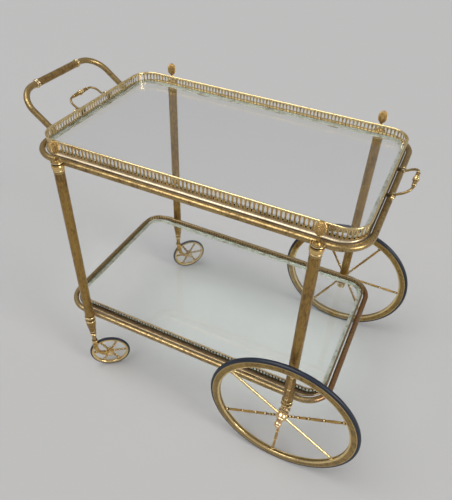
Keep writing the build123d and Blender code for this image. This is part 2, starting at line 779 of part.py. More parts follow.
def caster_arm(side):
    """Swivel stem with its collar, and the bowed arm beside the wheel"""
    stem = stem_plane(side)
    top = CASTER_POST_END - SEAT_GAP
    stations = [
        (STEM_FOOT_BASE, STEM_FOOT_RADIUS),
        (STEM_FOOT_TOP, STEM_FOOT_RADIUS),
        (STEM_FOOT_TOP + RING_WIDTH, STEM_NECK_RADIUS),
        (top - STEM_COLLAR_WIDTH - RING_EASE, STEM_NECK_RADIUS),
        (top - STEM_COLLAR_WIDTH, STEM_COLLAR_RADIUS),
        (top, STEM_COLLAR_RADIUS),
    ]
    plate = CASTER_TYRE_HALF + ARM_GAP
    head = (0, (STEM_FOOT_TOP + STEM_FOOT_BASE) / 2)
    boss = (CASTER_TRAIL, CASTER_RADIUS)
    drop = head[1] - boss[1]
    bow = [(CASTER_TRAIL * out, boss[1] + drop * up) for out, up in ARM_BOW_SHARES]
    with BuildPart() as piece:
        add(turned(stem, BAR_SIDES, stations))
        with BuildSketch(stem.offset(top)):
            Circle(STEM_RADIUS)
        extrude(amount=STEM_LENGTH)
        with BuildSketch(trail_plane(side).offset(plate)):
            with BuildLine():
                Polyline(head, *bow, boss)
            trace(line_width=ARM_WIDTH)
            for place, radius in ((head, ARM_WIDTH / 2), (boss, ARM_BOSS_RADIUS)):
                with Locations(place):
                    RegularPolygon(radius, BAR_SIDES)
        extrude(amount=ARM_THICKNESS)
        with BuildSketch(trail_plane(side)):
            with Locations(head):
                Rectangle(ARM_WIDTH, STEM_FOOT_TOP - STEM_FOOT_BASE)
        extrude(amount=plate)
        with BuildSketch(caster_middle(side)):
            Circle(CASTER_AXLE_RADIUS + SHUT_FIT)
        extrude(amount=plate + ARM_THICKNESS + OVERRUN, mode=Mode.SUBTRACT)
    return piece.part


def caster_axle(side):
    """Bolt through arm and wheel, with a head at both ends"""
    middle = caster_middle(side)
    arm_face = CASTER_TYRE_HALF + ARM_GAP + ARM_THICKNESS
    inner_face = -CASTER_HUB_HALF - SEAT_GAP
    with BuildPart() as piece:
        with BuildSketch(middle.offset(inner_face)):
            Circle(CASTER_AXLE_RADIUS)
        extrude(amount=arm_face - inner_face)
        for face, width in ((arm_face, CASTER_HEAD_WIDTH), (inner_face, -CASTER_HEAD_WIDTH)):
            with BuildSketch(middle.offset(face)):
                RegularPolygon(CASTER_HEAD_RADIUS, HEAD_SIDES)
            extrude(amount=width)
    return piece.part


def caster_wheel(side):
    """Cast wheel: rim, flat spokes and hub in one"""
    middle = caster_middle(side)
    reach = (CASTER_TYRE_INNER + CASTER_RIM_INNER) / 2
    arm_side = CASTER_TYRE_HALF + ARM_GAP - SEAT_GAP
    with BuildPart() as piece:
        add(disc(middle, CASTER_SIDES, CASTER_TYRE_INNER, CASTER_RIM_HALF))
        add(disc(middle, CASTER_SIDES, CASTER_RIM_INNER, CASTER_RIM_HALF + OVERRUN), mode=Mode.SUBTRACT)
        for spoke in range(CASTER_SPOKES // 2):
            with BuildSketch(middle):
                Rectangle(2 * reach, CASTER_SPOKE_WIDTH, rotation=HALF_TURN * 2 * spoke / CASTER_SPOKES)
            extrude(amount=CASTER_SPOKE_THICKNESS / 2, both=True)
        with BuildSketch(middle.offset(-CASTER_HUB_HALF)):
            RegularPolygon(CASTER_HUB_RADIUS, BAR_SIDES)
        extrude(amount=CASTER_HUB_HALF + arm_side)
        with BuildSketch(middle):
            Circle(CASTER_AXLE_RADIUS + RUNNING_FIT)
        extrude(amount=CASTER_HUB_HALF + arm_side, both=True, mode=Mode.SUBTRACT)
    return piece.part


# Every piece and its file

os.makedirs("parts", exist_ok=True)

for corner_end in ENDS:
    for corner_side in SIDES:
        save(post(corner_end, corner_side), f"post_{corner_side}_{corner_end}")
        save(finial(corner_end, corner_side), f"finial_{corner_side}_{corner_end}")

save(loop_bar(TOP_LOOP_HEIGHT), "top_loop")
save(loop_bar(LOW_LOOP_HEIGHT), "low_loop")
save(brackets(TOP_LOOP_HEIGHT, TRAY_BASE - SEAT_GAP), "tray_brackets")
save(brackets(LOW_LOOP_HEIGHT, SHELF_BASE), "shelf_brackets")

tray_rail_base = TRAY_BASE + TRAY_HEIGHT - RAIL_HEIGHT
tray_glass_base = TRAY_BASE + TRAY_SKIRT
tray_slot_base = tray_glass_base + MOULDING_HEIGHT + SLOT_STEP
tray_wall = gallery(TRAY_LONG, TRAY_BASE, tray_rail_base, tray_glass_base)
save(pierced(tray_wall, TRAY_LONG, tray_slot_base, tray_rail_base, SLOT_PITCH), "tray_gallery")
save(rail(TRAY_LONG, tray_rail_base, RAIL_HEIGHT), "tray_rail")
save(glass(TRAY_LONG, tray_glass_base), "tray_glass")

shelf_rail_base = SHELF_BASE + SHELF_HEIGHT - SHELF_RAIL_HEIGHT
shelf_glass_base = SHELF_BASE + SHELF_SKIRT
save(gallery(SHELF_LONG, SHELF_BASE, shelf_rail_base, shelf_glass_base), "shelf_gallery")
save(rail(SHELF_LONG, shelf_rail_base, SHELF_RAIL_HEIGHT), "shelf_rail")
save(glass(SHELF_LONG, shelf_glass_base), "shelf_glass")

save(push_handle(), "push_handle")
save(push_grip(), "push_grip")
save(push_collars(), "push_collars")

save(lugs(), "tray_handle_lugs")
save(pivot_pins(), "tray_handle_pins")
for tray_end in ENDS:
    save(bail(tray_end), f"tray_handle_{tray_end}")
    save(bail_grip(tray_end), f"tray_grip_{tray_end}")

for wheel_side in SIDES:
    plane = wheel_plane(wheel_side)
    save(axle(wheel_side), f"axle_{wheel_side}")
    save(axle_cap(wheel_side), f"axle_cap_{wheel_side}")
    save(wheel_hub(wheel_side), f"wheel_hub_{wheel_side}")
    save(wheel_spokes(wheel_side), f"wheel_spokes_{wheel_side}")
    save(wheel_rim(wheel_side), f"wheel_rim_{wheel_side}")
    save(
        tyre(plane, WHEEL_SIDES, WHEEL_RADIUS, TYRE_INNER, TYRE_HALF),
        f"wheel_tyre_{wheel_side}",
    )
    save(caster_arm(wheel_side), f"caster_arm_{wheel_side}")
    save(caster_axle(wheel_side), f"caster_axle_{wheel_side}")
    save(caster_wheel(wheel_side), f"caster_wheel_{wheel_side}")
    save(
        tyre(
            caster_middle(wheel_side), CASTER_SIDES, CASTER_RADIUS, CASTER_TYRE_INNER, CASTER_TYRE_HALF
        ),
        f"caster_tyre_{wheel_side}",
    )
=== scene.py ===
from math import cos, pi, radians, sin, tau

import bmesh
import bpy
import numpy as np
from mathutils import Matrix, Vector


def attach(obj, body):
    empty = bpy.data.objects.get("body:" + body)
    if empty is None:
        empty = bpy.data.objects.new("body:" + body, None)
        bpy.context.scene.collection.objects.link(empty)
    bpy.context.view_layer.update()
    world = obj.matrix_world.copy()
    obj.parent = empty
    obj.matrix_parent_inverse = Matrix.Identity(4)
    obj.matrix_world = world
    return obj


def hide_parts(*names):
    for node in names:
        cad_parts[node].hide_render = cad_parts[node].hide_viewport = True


# Dressed tea trolley: antique brass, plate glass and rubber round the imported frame. Lengths are
# millimetres in the trolley's own frame and become metres where a mesh is made.

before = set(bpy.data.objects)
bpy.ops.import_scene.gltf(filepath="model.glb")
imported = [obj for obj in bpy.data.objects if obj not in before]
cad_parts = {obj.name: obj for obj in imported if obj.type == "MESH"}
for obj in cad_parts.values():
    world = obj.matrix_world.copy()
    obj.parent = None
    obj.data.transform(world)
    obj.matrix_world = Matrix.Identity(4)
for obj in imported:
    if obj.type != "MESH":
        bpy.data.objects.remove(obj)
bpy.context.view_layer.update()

MM = 0.001
UP = np.array((0.0, 0.0, 1.0))
AHEAD = np.array((1.0, 0.0, 0.0))
AWAY = np.array((0.0, 1.0, 0.0))

# Posts and loops
POST_X = 240.0
POST_Y = 200.0
POST_RADIUS = 9.75
BAR_RADIUS = 6.0
LOOP_LONG = 620.0
LOOP_WIDE = 384.0
LOOP_CORNER = 54.0
TOP_LOOP_HEIGHT = 579.0
LOW_LOOP_HEIGHT = 185.0

# Trays
TRAY_LONG = 607.0
SHELF_LONG = 604.0
TRAY_WIDE = 354.0
TRAY_CORNER = 40.0
TRAY_BASE = 577.7
TRAY_GLASS_BASE = 583.0
TRAY_RAIL = (604.0, 607.5)
SHELF_BASE = 184.0
SHELF_GLASS_BASE = 187.0
SHELF_RAIL = (201.5, 204.0)
# Slots' pitch, wall's foot and head, slots' foot and head, half a slot's width in pitches
TRAY_WALL = (7.45, 584.8, 605.0, 585.5, 603.2, 0.32)
SHELF_WALL = (7.0, 188.6, 202.2, 189.2, 201.5, 0.37)
WALL_THICKNESS = 1.3
SLOT_POINTS = 16
SLOT_POWER = 1.75
SLOT_RELIEF = (0.05, 0.35, 0.35, 0.05)
GLASS_THICKNESS = 5.0
GLASS_INSET = 2.7
LEDGE_INSET = 11.3
RAIL_WIDTH = 3.4

# Big wheels and casters
WHEEL_RADIUS = 157.0
WHEEL_OUT = 25.0
TYRE_INNER = 151.0
HUB_START = -13.5
HUB_LENGTH = 24.0
SPOKE_TURNS = {"near": 27.3, "far": 0.5}
PLAIN_SPOKES = {"near": (2, 5), "far": ()}
CASTER_TURNS = {"near": 36.0, "far": 47.0}
CASTER_RADIUS = 47.5
CASTER_TRAIL = 31.0
CASTER_TYRE_INNER = 43.5

# Handles
PUSH_WIDE = 233.0
PUSH_REACH = 103.0
PUSH_RISE = 37.4
PUSH_BEND = 45.0
BAIL_WIDE = 81.0
BAIL_REACH = 29.0
BAIL_RISE = 30.0
BAIL_BEND = 16.0
BAIL_RADIUS = 2.2
PIVOT_X = 314.4
PIVOT_HEIGHT = 597.0

ENDS = {"left": -1, "right": 1}
SIDES = {"near": -1, "far": 1}


# Outlines: arrays of (place, radius) or (inset, height) rows


def line(*points):
    """Outline with a corner at every point"""
    return np.array(points, float)


def bead(low, high, radius, proud, steps=11):
    """Half ellipse that stands proud of a radius: place = middle - half·cos t and
    size = radius + proud·sin t"""
    turn = np.linspace(0, pi, steps)
    place = (low + high) / 2 - (high - low) / 2 * np.cos(turn)
    return np.column_stack((place, radius + proud * np.sin(turn)))


def flow(*points, steps=7):
    """Smooth outline through its points: on each length, a cubic that takes half the difference
    of the neighbours on either side as its slope"""
    spots = np.array(points, float)
    ends = np.vstack((2 * spots[0] - spots[1], spots, 2 * spots[-1] - spots[-2]))
    slope = (ends[2:] - ends[:-2]) / 2
    share = np.linspace(0, 1, steps, endpoint=False)[None, :, None]
    start, end = spots[:-1, None], spots[1:, None]
    leave, arrive = slope[:-1, None], slope[1:, None]
    cube, square = share**3, share**2
    curve = (
        (2 * cube - 3 * square + 1) * start
        + (cube - 2 * square + share) * leave
        + (3 * square - 2 * cube) * end
        + (cube - square) * arrive
    )
    return np.vstack((curve.reshape(-1, spots.shape[1]), spots[-1:]))


def join(*outlines):
    """One outline from several, without repeated points"""
    whole = np.vstack(outlines)
    keep = np.ones(len(whole), bool)
    keep[1:] = np.hypot(*np.diff(whole, axis=0).T) > 1e-4
    return whole[keep]


def fine(outline, step=5.0):
    """The same outline with added points wherever a length is longer than a step"""
    along = np.concatenate(([0], np.cumsum(np.hypot(*np.diff(outline, axis=0).T))))
    every = np.unique(np.round(np.concatenate((along, np.arange(0, along[-1], step))), 3))
    return np.column_stack([np.interp(every, along, column) for column in outline.T])


def relief_of(outline, reach=2.6, round_outline=False):
    """How far each point stands out from its surroundings: (point - mean nearby)·normal, where the
    mean is weighted by exp(-(distance along / reach)²) and the normal points away from the metal"""
    spots = np.vstack((outline, outline, outline)) if round_outline else outline
    steps = np.hypot(*np.diff(spots, axis=0).T)
    along = np.concatenate(([0], np.cumsum(steps)))
    share = np.concatenate((steps[:1], steps[:-1] + steps[1:], steps[-1:]))
    weight = share * np.exp(-(((along[:, None] - along[None]) / reach) ** 2))
    mean = weight @ spots / weight.sum(axis=1)[:, None]
    heading = np.gradient(spots, axis=0)
    length = np.hypot(*heading.T)[:, None] + 1e-9
    normal = np.column_stack((-heading[:, 1], heading[:, 0])) / length
    proud = ((spots - mean) * normal).sum(axis=1)
    if round_outline:
        after = np.roll(outline, -1, axis=0)
        area = (outline[:, 0] * after[:, 1] - outline[:, 1] * after[:, 0]).sum()
        proud = -np.sign(area) * proud[len(outline):2 * len(outline)]
    return proud


# Surfaces: (points, faces, relief), closed, with the faces turned outwards


def grid_faces(rows, columns, round_rows, round_columns):
    """Four-sided faces between neighbouring points of a grid, joined up where it is round"""
    row = np.arange(rows if round_rows else rows - 1)[:, None]
    column = np.arange(columns if round_columns else columns - 1)[None]
    after, beside = (row + 1) % rows, (column + 1) % columns
    here, there = row * columns, after * columns
    corners = (here + column, here + beside, there + beside, there + column)
    return np.stack(np.broadcast_arrays(*corners), axis=-1).reshape(-1, 4)


def closed(points, relief=0.0, round_rows=False):
    """Closed surface from a grid whose columns run round. Rows join up too, or both ends get a cap.
    The sign of the volume, a sixth of the sum of a·(b×c) over triangles, says which way it faces"""
    rows, columns = points.shape[:2]
    spots = points.reshape(-1, 3)
    quads = grid_faces(rows, columns, round_rows, True)
    triangles = np.concatenate((quads[:, [0, 1, 2]], quads[:, [0, 2, 3]]))
    caps = []
    if not round_rows:
        rim = np.arange(columns)
        caps = [rim[::-1], rim + (rows - 1) * columns]
        fans = [np.column_stack((np.full(columns - 2, c[0]), c[1:-1], c[2:])) for c in caps]
        triangles = np.concatenate([triangles, *fans])
    centred = (spots - spots.mean(axis=0))[triangles]
    volume = np.einsum("ij,ij->", centred[:, 0], np.cross(centred[:, 1], centred[:, 2]))
    turn = 1 if volume > 0 else -1
    faces = [face[::turn].tolist() for face in caps] + quads[:, ::turn].tolist()
    return spots, faces, np.broadcast_to(relief, (rows, columns)).ravel()


def turned(outline, origin=(0, 0, 0), axis=UP, across=AHEAD, sides=40, step=5.0, ring=False):
    """Turned form: point(s, a) = origin + axis·place(s) + radius(s)·(across·cos a + aside·sin a). A
    ring's outline is itself closed, so the form joins up both ways"""
    if not ring:
        outline = fine(outline, step)
    angle = np.arange(sides) * tau / sides
    axis, across = np.asarray(axis, float), np.asarray(across, float)
    way = np.cos(angle)[:, None] * across + np.sin(angle)[:, None] * np.cross(axis, across)
    points = outline[:, 0, None, None] * axis + outline[:, 1, None, None] * way
    relief = relief_of(outline, round_outline=ring)[:, None]
    return closed(points + np.asarray(origin, float), relief, ring)


def unit(vectors):
    """Vectors at length one"""
    return vectors / np.linalg.norm(vectors, axis=-1, keepdims=True)


def tube(route, radius, up, sides=28, round_route=False, relief=0.0):
    """Round bar in a plane: point(s, a) = route(s) + radius(s)·(up·cos a + side(s)·sin a), where
    side(s) is square to the route and to up"""
    if round_route:
        along = unit(np.roll(route, -1, axis=0) - np.roll(route, 1, axis=0))
    else:
        along = unit(np.gradient(route, axis=0))
    up = unit(np.asarray(up, float))
    side = unit(np.cross(along, up))
    angle = np.arange(sides) * tau / sides
    ring = np.cos(angle)[None, :, None] * up + np.sin(angle)[None, :, None] * side[:, None]
    size = np.broadcast_to(radius, len(route))[:, None, None]
    return closed(route[:, None] + size * ring, relief, round_route)


def corner_turns(steps):
    """Signs of the four corners and the angles round each, near right corner first"""
    quarter = np.linspace(0, pi / 2, steps)
    angle = np.concatenate([quarter + turn * pi / 2 for turn in (-1, 0, 1, 2)])
    ends = np.repeat((1, 1, -1, -1), steps)
    sides = np.repeat((-1, 1, 1, -1), steps)
    return ends, sides, angle


def around(long, wide, corner, inset, lip=0.0, steps=12):
    """Round-cornered rectangle at each inset, each long side moved out by a lip and each corner
    made rounder by it: corner centre + (corner + lip - inset)·(cos a, sin a)"""
    ends, sides, angle = (values[:, None] for values in corner_turns(steps))
    radius = (corner + np.asarray(lip, float) - np.asarray(inset, float))[None]
    x = ends * (long / 2 - corner - np.asarray(lip, float)) + radius * np.cos(angle)
    y = sides * (wide / 2 - corner) + radius * np.sin(angle)
    return x, y


def band(long, section, steps=12):
    """Moulding round a tray: its closed section of (inset, height, lip) rows is carried round the
    tray's outline, so point(s, v) is the outline at inset(v) and lip(v), at height(v)"""
    section = np.array(section, float)
    lip = section[:, 2] if section.shape[1] > 2 else np.zeros(len(section))
    x, y = around(long, TRAY_WIDE, TRAY_CORNER, section[:, 0], lip, steps)
    points = np.stack((x, y, np.broadcast_to(section[:, 1], x.shape)), axis=-1)
    proud = relief_of(np.column_stack((lip - section[:, 0], section[:, 1])), round_outline=True)
    return closed(points, proud[None], round_rows=True)


def pane(long, section):
    """Glass plate: an open edge section of (inset, height) rows round the outline, capped flat"""
    section = np.array(section, float)
    x, y = around(long, TRAY_WIDE, TRAY_CORNER, section[:, 0], steps=14)
    points = np.stack((x, y, np.broadcast_to(section[:, 1], x.shape)), axis=-1)
    return closed(points.transpose(1, 0, 2))


def wall_line(long, inset):
    """Length of a tray's outline at an inset, and a function from a length along it and an offset
    outwards to a point: corner centre + (corner + offset)·normal, where the centre and the normal's
    angle both run straight between the outline's breaks"""
    corner = TRAY_CORNER - inset
    half_x, half_y = long / 2 - TRAY_CORNER, TRAY_WIDE / 2 - TRAY_CORNER
    quarter = corner * pi / 2
    round_end = [quarter, 2 * half_y, quarter]
    breaks = np.cumsum([0, half_x, *round_end, 2 * half_x, *round_end, half_x])
    centre_x = np.array((0, 1, 1, 1, 1, -1, -1, -1, -1, 0)) * half_x
    centre_y = np.array((-1, -1, -1, 1, 1, 1, 1, -1, -1, -1)) * half_y
    heading = np.array((-1, -1, 0, 0, 1, 1, 2, 2, 3, 3)) * pi / 2

    def spot(along, offset):
        along = along % breaks[-1]
        angle = np.interp(along, breaks, heading)
        x = np.interp(along, breaks, centre_x) + (corner + offset) * np.cos(angle)
        y = np.interp(along, breaks, centre_y) + (corner + offset) * np.sin(angle)
        return x, y

    return breaks[-1], spot


def pierced_wall(long, pitch, low, high, slot_low, slot_high, open_share):
    """Gallery wall with a row of upright oval slots. Each pitch is a cell of four rings of points:
    the cell's edge and the slot's edge on the outer face, then the slot's edge and the cell's edge
    on the inner one. The slot is |x/w|^p + |z/h|^p = 1 and the edge is its square frame"""
    inset = RAIL_WIDTH / 2
    total, spot = wall_line(long, inset)
    cells = round(total / pitch)
    pitch = total / cells
    turn = np.arange(SLOT_POINTS) * tau / SLOT_POINTS
    across, upward = np.cos(turn), np.sin(turn)
    square = np.maximum(abs(across), abs(upward))
    frame_x, frame_z = across / square * pitch / 2, upward / square
    slot_x = np.sign(across) * abs(across) ** (2 / SLOT_POWER) * open_share * pitch
    slot_z = np.sign(upward) * abs(upward) ** (2 / SLOT_POWER)
    edge_height = (low + high) / 2 + frame_z * (high - low) / 2
    slot_height = (slot_low + slot_high) / 2 + slot_z * (slot_high - slot_low) / 2
    offsets = np.array((1, 1, -1, -1)) * WALL_THICKNESS / 2
    local = np.stack((frame_x, slot_x, slot_x, frame_x))
    height = np.stack((edge_height, slot_height, slot_height, edge_height))
    along = (np.arange(cells)[:, None, None] + 0.5) * pitch + local[None]
    x, y = spot(along, offsets[None, :, None])
    points = np.stack((x, y, np.broadcast_to(height, x.shape)), axis=-1)
    cell = grid_faces(4, SLOT_POINTS, False, True)
    ends = grid_faces(4, SLOT_POINTS, True, True)[-SLOT_POINTS:]
    level = abs(frame_z[ends[:, 2]] + frame_z[ends[:, 3]]) > 1.99
    cell = np.concatenate((cell, ends[level]))
    faces = (cell[None] + np.arange(cells)[:, None, None] * 4 * SLOT_POINTS).reshape(-1, 4)
    relief = np.broadcast_to(np.array(SLOT_RELIEF)[None, :, None], x.shape)
    return points.reshape(-1, 3), faces.tolist(), relief.ravel()


# Materials


class Value:
    """A shader socket that takes part in Python arithmetic, each operator adding its Math node"""

    def __init__(self, shader, socket):
        self.shader = shader
        self.socket = socket

    def math(self, operation, *others):
        return self.shader.node("ShaderNodeMath", {"operation": operation}, *others)

    def __add__(self, other):
        return self.math("ADD", self, other)

    def __radd__(self, other):
        return self.math("ADD", other, self)

    def __sub__(self, other):
        return self.math("SUBTRACT", self, other)

    def __rsub__(self, other):
        return self.math("SUBTRACT", other, self)

    def __mul__(self, other):
        return self.math("MULTIPLY", self, other)

    def __rmul__(self, other):
        return self.math("MULTIPLY", other, self)

    def rise(self, low, high):
        """0 below low, 1 above high and a smooth step between"""
        settings = {"interpolation_type": "SMOOTHSTEP"}
        return self.shader.node("ShaderNodeMapRange", settings, self, low, high, 0.0, 1.0)

    def held(self):
        """Kept between 0 and 1"""
        return self.shader.node("ShaderNodeClamp", {}, self, 0.0, 1.0)


class Shader:
    """Node tree of one finish, or of the studio's walls and ceiling"""

    def __init__(self, name, studio=False):
        self.owner = (bpy.data.worlds if studio else bpy.data.materials).new(name)
        self.owner.use_nodes = True
        self.tree = self.owner.node_tree
        self.tree.nodes.clear()
        self.output = "ShaderNodeOutputWorld" if studio else "ShaderNodeOutputMaterial"
        place = self.tree.nodes.new("ShaderNodeTexCoord")
        self.place = Value(self, place.outputs["Generated" if studio else "Object"])

    def node(self, kind, settings, *values, output=0, **named):
        """Any node: its settings first, then the values or links of its sockets by place or name"""
        made = self.tree.nodes.new(kind)
        for name, setting in settings.items():
            setattr(made, name, setting)
        sockets = [(made.inputs[index], value) for index, value in enumerate(values)]
        sockets += [(made.inputs[name.replace("_", " ")], value) for name, value in named.items()]
        for socket, value in sockets:
            if isinstance(value, Value):
                self.tree.links.new(value.socket, socket)
            elif value is not None:
                socket.default_value = value
        return Value(self, made.outputs[output])

    def noise(self, size, detail=3.0, roughness=0.6, stretch=(1, 1, 1), distortion=0.0):
        """Noise whose features are about a size across, in millimetres"""
        settings = {"vector_type": "POINT"}
        place = self.node("ShaderNodeMapping", settings, Vector=self.place, Scale=stretch)
        return self.node(
            "ShaderNodeTexNoise",
            {},
            Vector=place,
            Scale=1 / (size * MM),
            Detail=detail,
            Roughness=roughness,
            Distortion=distortion,
        )

    def blend(self, share, first, second):
        """Colour between two, by the colour sockets of a Mix node"""
        made = self.tree.nodes.new("ShaderNodeMix")
        made.data_type = "RGBA"
        for index, value in ((0, share), (6, first), (7, second)):
            if isinstance(value, Value):
                self.tree.links.new(value.socket, made.inputs[index])
            else:
                made.inputs[index].default_value = value
        return Value(self, made.outputs[2])

    def relief(self):
        """The piece's own record of what stands proud and what lies in a groove"""
        settings = {"attribute_type": "GEOMETRY", "attribute_name": "relief"}
        return self.node("ShaderNodeAttribute", settings, output="Fac")

    def bump(self, height, strength, depth):
        """Normals tilted by a height, as deep as given in millimetres"""
        return self.node(
            "ShaderNodeBump", {}, Strength=strength, Distance=depth * MM, Height=height
        )

    def close(self, shader):
        """Sends a shader to the output"""
        output = self.tree.nodes.new(self.output)
        self.tree.links.new(shader.socket, output.inputs["Surface"])
        return self.owner


def brass(name, bright, dull, shine, polish, age, *, stretch=(1, 1, 1), copper=0.0, groove_darkness=1.0,
          solid=0.9, painted_end_shade=0.0):
    """Aged brass: bright metal under a brown tarnish that lies in clouds and streaks, black dirt
    and a painted shade in the grooves, small dark pits, and beads rubbed pale, with a painted
    highlight on them. Polish is how rough it is where it is clean and age how much tarnish it has.
    Copper says how red the metal is along the right end, the setting for the grooves how dark
    they are, solid how much of it is bare metal, and the setting for the ends how dark a painted
    shade lies on the outer faces of both ends"""
    bright, dull, shine = ((*colour, 1) for colour in (bright, dull, shine))
    s = Shader(name)
    cloud = s.noise(60, 3.0, 0.55).rise(0.3, 0.7)
    patch = s.noise(12, 5.0, 0.66, stretch).rise(0.32, 0.68)
    mottle = s.noise(3.2, 4.0, 0.72, stretch).rise(0.34, 0.66)
    grain = s.noise(0.7, 2.0, 0.6)
    relief = s.relief()
    # Darker in the grooves: dirt with a painted shade
    groove_dirt_and_shade = (relief * (-4.2 * groove_darkness)).held()
    # Paler where it stands proud: rubbed wear with a painted highlight
    wear_and_highlight = (relief * 3.2).held()
    tarnish = 0.2 * cloud + 0.32 * patch + 0.48 * mottle - 0.5 + age - 0.4 * wear_and_highlight + 0.45 * groove_dirt_and_shade
    pits = s.node("ShaderNodeTexVoronoi", {"feature": "F1"},
                  Vector=s.place, Scale=1 / (PIT_SPACING * MM), Randomness=1.0)
    fleck = (1 - pits.rise(0.12, 0.3)) * patch.rise(0.5, 0.9)
    darkening_dirt_and_shade = (groove_dirt_and_shade * 0.95 + fleck * 0.5 + tarnish.rise(0.7, 1.05) * 0.7).held()
    colour = s.blend(0.75 * wear_and_highlight.rise(0.3, 1.0) * (1 - tarnish.rise(0.3, 0.8)), bright, shine)
    colour = s.blend(tarnish.rise(0.14, 0.82), colour, dull)
    if copper or painted_end_shade:
        along = s.node("ShaderNodeSeparateXYZ", {}, s.place, output="X")
    if copper:
        red = along.rise(*COPPER_FROM_TO) * 0.9 + 0.2 * cloud - 0.1
        colour = s.blend((red * copper).held(), colour, COPPER)
    # A painted shade on the outer faces of both ends, added to the darkening
    if painted_end_shade:
        end = along.math("ABSOLUTE", along).rise(*END_FROM_TO)
        darkening_dirt_and_shade = (darkening_dirt_and_shade + end * painted_end_shade).held()
    # The darkening gathers pits, heavy tarnish, dirt and painted shade in the grooves, and painted
    # shade on the ends
    colour = s.blend(darkening_dirt_and_shade, colour, DIRT_AND_SHADE_COLOUR)
    rough = polish + 0.22 * tarnish.held() + 0.1 * grain + 0.2 * fleck + 0.2 * groove_dirt_and_shade - 0.1 * wear_and_highlight
    metal = (solid - 0.4 * tarnish.held() - 0.3 * darkening_dirt_and_shade).held()
    height = 0.5 * mottle + 0.3 * grain - 0.6 * fleck + 0.4 * patch
    surface = s.node(
        "ShaderNodeBsdfPrincipled",
        {},
        Base_Color=colour,
        Metallic=metal,
        Roughness=rough.held(),
        Normal=s.bump(height, 0.3, 0.13),
    )
    return s.close(surface)


def ledge_metal(name):
    """Dull nickel-grey metal seen through glass, with brown stains and fine scratches along it"""
    s = Shader(name)
    stain = s.noise(14, 5.0, 0.65)
    scratch = s.noise(3, 3.0, 0.6, (0.2, 0.2, 1))
    colour = s.blend(stain.rise(0.42, 0.72), (0.6, 0.61, 0.55, 1), (0.3, 0.27, 0.19, 1))
    rough = (0.3 + 0.25 * stain + 0.15 * scratch).held()
    surface = s.node(
        "ShaderNodeBsdfPrincipled",
        {},
        Base_Color=colour,
        Metallic=0.8,
        Roughness=rough,
        Normal=s.bump(0.5 * scratch + 0.5 * stain, 0.3, 0.1),
    )
    return s.close(surface)


def rubber(name):
    """Black rubber tinted blue as a painted sheen, road dust in patches, and a tread painted
    greyer as a highlight
    """
    s = Shader(name)
    cloud = s.noise(30, 4.0, 0.6)
    dust = s.noise(4, 5.0, 0.7)
    grain = s.noise(0.8, 3.0, 0.6)
    relief = s.relief()
    # Greyer with dust and random clouds, and on the proud tread as a painted highlight
    grey = (0.5 * dust.rise(0.45, 0.75) + 0.35 * cloud.rise(0.45, 0.7) + relief * 0.25).held()
    # Both colours are bluish, a painted sheen
    colour = s.blend(grey, (0.005, 0.009, 0.02, 1), (0.018, 0.027, 0.05, 1))
    rough = (0.26 + 0.22 * dust + 0.12 * grain).held()
    surface = s.node(
        "ShaderNodeBsdfPrincipled",
        {},
        Base_Color=colour,
        Roughness=rough,
        Specular_IOR_Level=0.55,
        Normal=s.bump(0.6 * grain + 0.4 * dust, 0.4, 0.15),
    )
    return s.close(surface)


def glass(name, tint):
    """Clear plate glass that lets lamp light through, with faint smears on its gloss"""
    s = Shader(name)
    smear = s.noise(40, 5.0, 0.6, (1, 3, 1), 0.8)
    surface = s.node(
        "ShaderNodeBsdfPrincipled",
        {},
        Base_Color=tint,
        Roughness=(smear.rise(0.5, 0.8) * 0.04).held(),
        IOR=1.5,
        Transmission_Weight=1.0,
    )
    through = s.node("ShaderNodeBsdfTransparent", {}, Color=(0.93, 0.96, 0.95, 1))
    lamp = s.node("ShaderNodeLightPath", {}, output="Is Shadow Ray")
    return s.close(s.node("ShaderNodeMixShader", {}, lamp, surface, through))


DIRT_AND_SHADE_COLOUR = (0.022, 0.013, 0.006, 1)
COPPER = (0.23, 0.1, 0.045, 1)
SHINE = (0.95, 0.74, 0.38)
CREAM_SHINE = (0.95, 0.8, 0.55)
PIT_SPACING = 3.0
# Metres along the trolley: where the copper tone sets in, and where a tray's outer end face is,
# which gets a painted shade
COPPER_FROM_TO = (0.27, 0.307)
END_FROM_TO = (0.3014, 0.3022)

# Name, clean colour, tarnished colour, colour of rubbed wear and painted highlight, roughness,
# tarnish
POST_BRASS = brass("post_brass", (0.37, 0.225, 0.058), (0.16, 0.088, 0.022), SHINE, 0.2, 0.38,
                   stretch=(1, 1, 0.3), groove_darkness=0.5, solid=0.8)
# Brighter copy of the post's brass for the capitals and stems, a painted highlight
PAINTED_HIGHLIGHT_CAPITAL_BRASS = brass("capital_brass_painted_highlight", (0.7, 0.44, 0.13), (0.26, 0.14, 0.036), SHINE, 0.18, 0.28,
                      groove_darkness=0.8)
BAR_BRASS = brass("bar_brass", (0.46, 0.325, 0.135), (0.17, 0.1, 0.034), (0.95, 0.8, 0.52),
                  0.2, 0.36)
LOW_BRASS = brass("low_bar_brass", (0.5, 0.37, 0.175), (0.17, 0.1, 0.036), CREAM_SHINE, 0.18, 0.36,
                  copper=0.8)
GALLERY_BRASS = brass("gallery_brass", (0.52, 0.39, 0.18), (0.2, 0.135, 0.055), SHINE, 0.24, 0.48,
                      painted_end_shade=0.75)
# Paler and greyer than the gallery brass, a painted reflection of bright light from above on its
# upward faces
PAINTED_SHEEN_MOULDING_BRASS = brass("moulding_brass_painted_reflection", (0.56, 0.46, 0.32), (0.27, 0.21, 0.135),
                       (0.66, 0.56, 0.4), 0.42, 0.44, painted_end_shade=0.6)
RAIL_BRASS = brass("rail_brass", (0.6, 0.48, 0.27), (0.24, 0.175, 0.08), SHINE, 0.22, 0.42)
